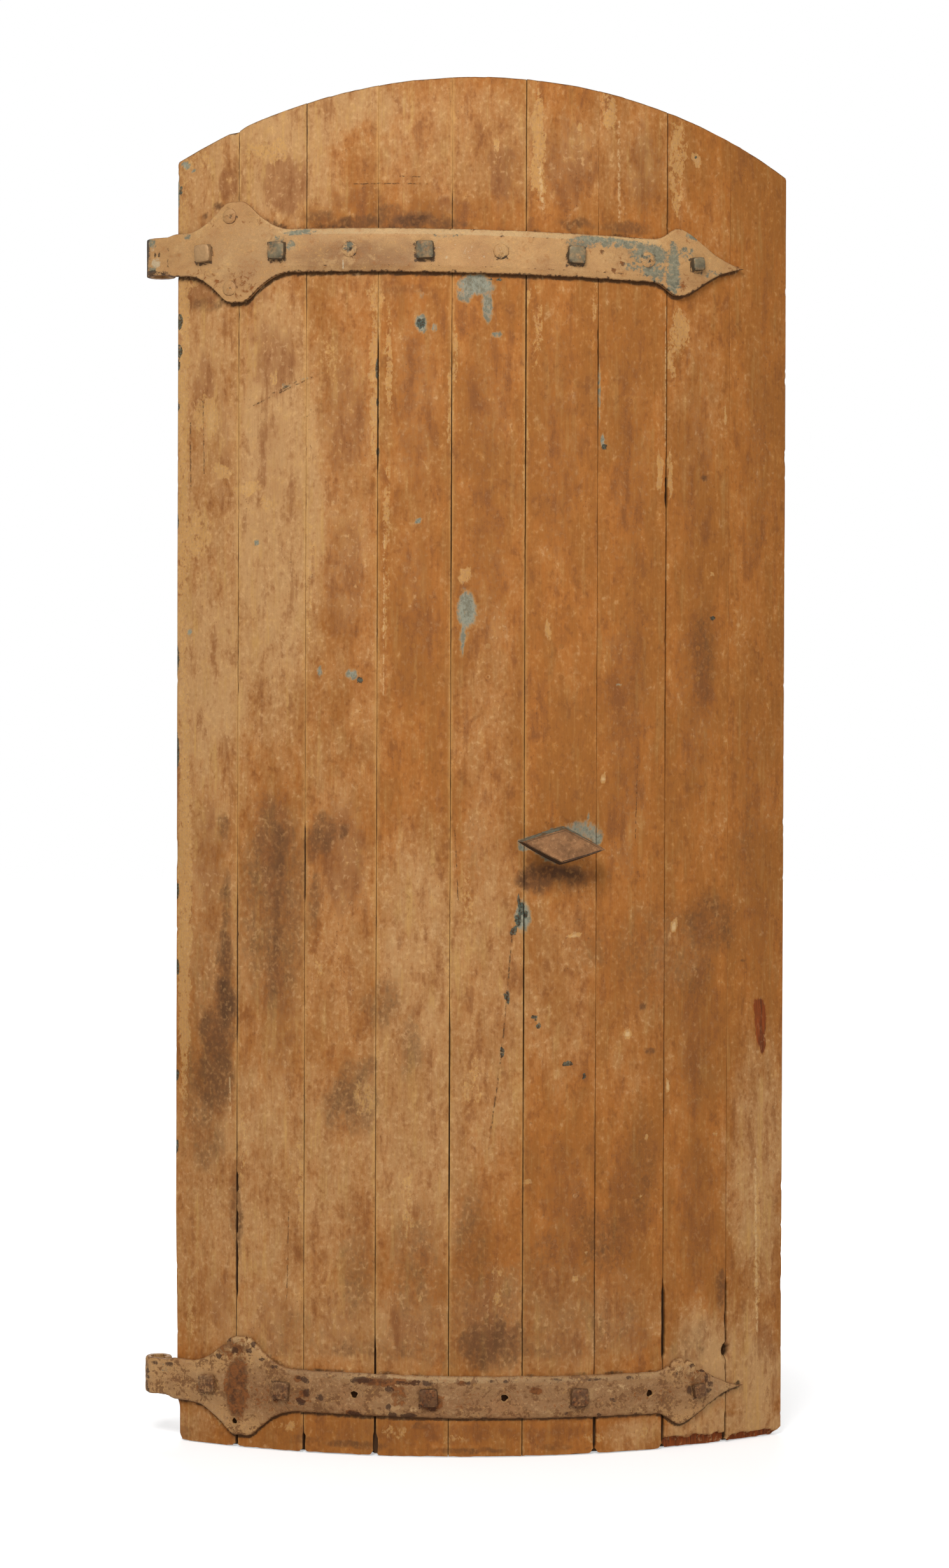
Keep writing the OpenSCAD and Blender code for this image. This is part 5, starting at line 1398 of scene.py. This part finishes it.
def build_knob(material):
    """Lozenge knob with a worn face and sides that splay to the back, on its neck, collar and spindle."""
    sides = 160
    points, rim, side, lit = [], [], [], []

    def outline(t, long_half, tall_half, power):
        c, d = abs(math.cos(t)) / long_half, abs(math.sin(t)) / tall_half
        return 1.0 / (c ** power + d ** power) ** (1 / power)

    levels = [(0.0, share, 0.0) for share in list(np.linspace(0.04, 0.86, 11)) + [0.9, 0.93, 0.955]]
    levels += [(0.0, 0.975, 0.0004), (0.02, 0.992, 0.0011), (0.08, 1.0, 0.0024), (0.45, 1.0, 0.008),
               (0.85, 1.0, 0.013), (1.0, 1.0, 0.0165), (1.0, 0.995, 0.0205), (1.0, 0.96, 0.0228),
               (1.0, 0.85, 0.0238), (1.0, 0.6, 0.024), (1.0, 0.25, 0.024)]
    for spread, share, back in levels:
        for k in range(sides):
            t = 2 * math.pi * k / sides
            radius = share * (outline(t, *KNOB_FACE) * (1 - spread) + outline(t, *KNOB_SPLAY) * spread)
            x, y = radius * math.cos(t), radius * math.sin(t)
            front = KNOB_DEEP - back
            if back == 0.0:
                front -= 0.0006 * share ** 2
                front -= 0.0007 * (1 + rough(x / 0.013, y / 0.01, 71))
            elif back < 0.02:
                front -= 0.0005 * (1 + noise(x / 0.009, y / 0.009, 73))
            points.append((x, y, front))
            rim.append(0.95 if 0.89 < share < 0.94 and back == 0.0 and y > 0 else 0.0)
            # Painted shade on the lower edge of the face; the sides take painted shade below and grey-green above,
            # by the lit share
            under = back == 0.0 and y < 0 and share > (0.92 if x > 0 else 0.95)
            side.append(1.0 if back > 0.002 or under else (0.4 if back > 0.0 else 0.0))
            lit.append(float(smooth(-0.004, 0.004, y)))
    c, d = math.cos(KNOB_DROOP), math.sin(KNOB_DROOP)
    lozenge = np.array(points)
    lozenge[:, :2] = lozenge[:, :2] @ np.array([[c, d], [-d, c]])
    neck = turned_part(KNOB_NECK, 40)
    rod = turned_part([(0.0044, 0.0), (0.005, 0.0006)] + thread(0.005, 0.0006, 0.0006, 0.001, 17) +
                      [(0.0052, 0.018), (0.0052, 0.029)], 24)
    spindle = turned_part([(0.0076, 0.0), (0.008, 0.0006), (0.008, 0.031)], 28)
    shapes = (((lozenge, tube_faces(len(levels), sides)), KNOB_BACK), (neck, FACE_R + 0.0004),
              (rod, BACK_R - 0.0355), (spindle, BACK_R))
    pts, polys = joined([stood_on_bow(shape, KNOB_S, KNOB_Z, start) for shape, start in shapes])
    rest = len(pts) - len(lozenge)
    # The neck, rod and spindle take the painted shade in full
    values = {"rim": np.append(rim, np.zeros(rest)), "side": np.append(side, np.ones(rest)),
              "lit": np.append(lit, np.zeros(rest))}
    obj = make_mesh("lozenge_knob", pts, polys, values, [material], 40.0)
    hand_over(obj, "handle", "knob_iron", "handle_knob")


def dress(material, bevel, *nodes):
    """Keeps CAD nodes, with softened edges and a material of their own."""
    for node in nodes:
        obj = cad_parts[node]
        obj.data.materials.clear()
        obj.data.materials.append(material)
        step = obj.modifiers.new("softened", "BEVEL")
        step.width = bevel
        step.segments = 2
        step.limit_method = "ANGLE"
        step.angle_limit = math.radians(40)
        step.harden_normals = True


FRONT = board_paint()
BACKS = raw_timber("board_back", linear(128, 92, 60), linear(92, 64, 42), linear(150, 122, 92), True)
for number in range(BOARDS):
    build_board(number, FRONT, BACKS)

build_nails(FRONT)

STRAP_METAL = strap_paint()
build_strap(UPPER, UPPER_MARKS, [], STRAP_METAL)
build_strap(LOWER, LOWER_MARKS, LOWER_HOLES, STRAP_METAL)
build_bolts(UPPER, old_iron("bolt_iron", linear(124, 112, 86), linear(88, 80, 62), 0.3, IRON_DUSTY))
build_bolts(LOWER, old_iron("rusted_bolt_iron", linear(112, 76, 46), linear(80, 54, 36), 0.7, IRON_BROWN))
build_screws(STRAP_METAL)
build_knob(knob_metal())

LEDGE_WOOD = raw_timber("ledge_wood", linear(140, 100, 62), linear(98, 66, 42), linear(160, 130, 98), False)
dress(LEDGE_WOOD, 0.0016, "upper_ledge", "middle_ledge", "lower_ledge")
LATCH_IRON = old_iron("latch_iron", linear(54, 52, 50), linear(72, 66, 60), 0.35, None, 0.8, 0.5)
dress(LATCH_IRON, 0.0007, "latch_bar", "latch_lifter", "latch_guide", "latch_pivot", "pivot_spacer",
      "spindle_nut")
FIXINGS = old_iron("fixing_iron", linear(92, 82, 70), linear(70, 60, 52), 0.7, None, 1.2, 0.4)
dress(FIXINGS, 0.0006, "upper_strap_washers", "lower_strap_washers", "upper_strap_nuts", "lower_strap_nuts")
dress(FIXINGS, 0.0004, "upper_ledge_screws", "lower_ledge_screws", "guide_screws")

WHITE = (1.0, 1.0, 1.0, 1.0)


def build_floor():
    """Plain pale floor: it takes the shadow near the leaf, and runs out to white further off."""
    level = FOOT - 0.0004
    corners = np.array([(-14, -12, level), (15, -12, level), (15, 18, level), (-14, 18, level)])
    material = bpy.data.materials.new("studio_floor")
    material.use_nodes = True
    n = Shader(material.node_tree)
    away = n.vectors("DISTANCE", n.place(), (0.42, -0.05, level), "Value")
    seen = n.node("LightPath").outputs["Is Camera Ray"]
    glow = n.node("Emission", {"Color": WHITE, "Strength": n.times(seen, n.ramp(away, 0.5, 1.6, 0.45, 1.0))})
    pale = n.node("BsdfDiffuse", {"Color": (0.86, 0.86, 0.86, 1.0)})
    both = n.node("AddShader", {0: pale.outputs[0], 1: glow.outputs[0]})
    n.node("OutputMaterial", {0: both.outputs[0]})
    make_mesh("studio_floor", corners, [(0, 1, 2, 3)], {}, [material], 40.0)


def build_light():
    """Large soft lamps above and in front, and an even sky that shows white."""
    for name, place, aim, size, power in (
            ("key", (-0.3, -3.0, 3.3), (0.45, 0.0, 0.8), 1.5, 90.0),
            ("fill", (1.8, -3.6, 1.2), (0.45, 0.0, 0.6), 2.2, 22.0),
            ("behind", (0.6, 3.2, 2.6), (0.45, 0.0, 0.8), 2.4, 60.0)):
        lamp = bpy.data.lights.new(name, "AREA")
        lamp.shape = "DISK"
        lamp.size = size
        lamp.energy = power
        obj = add_object(name, lamp)
        obj.location = place
        obj.rotation_euler = (Vector(aim) - Vector(place)).to_track_quat("-Z", "Y").to_euler()
    world = bpy.data.worlds.new("studio")
    bpy.context.scene.world = world
    world.use_nodes = True
    n = Shader(world.node_tree)
    path = n.node("LightPath").outputs
    seen = n.math("MAXIMUM", path["Is Camera Ray"], path["Is Glossy Ray"])
    seen = n.math("MAXIMUM", seen, path["Is Transmission Ray"])
    sky = n.node("Background", {"Color": WHITE, "Strength": 0.3})
    white = n.node("Background", {"Color": WHITE, "Strength": 1.0})
    both = n.node("MixShader", {0: seen, 1: sky.outputs[0], 2: white.outputs[0]})
    n.node("OutputWorld", {0: both.outputs[0]})


def build_camera():
    """The photograph's camera."""
    data = bpy.data.cameras.new("photo_camera")
    data.sensor_fit = "AUTO"
    data.sensor_width = SENSOR
    data.lens = FOCAL_PX * SENSOR / PHOTO_H
    data.clip_end = 100.0
    camera = add_object("photo_camera", data)
    turn = Matrix((RIGHT, UP, -FORWARD)).transposed().to_4x4()
    camera.matrix_world = Matrix.Translation(Vector(EYE)) @ turn
    bpy.context.scene.camera = camera


build_floor()
build_light()
build_camera()
bpy.context.scene.view_settings.view_transform = "Standard"
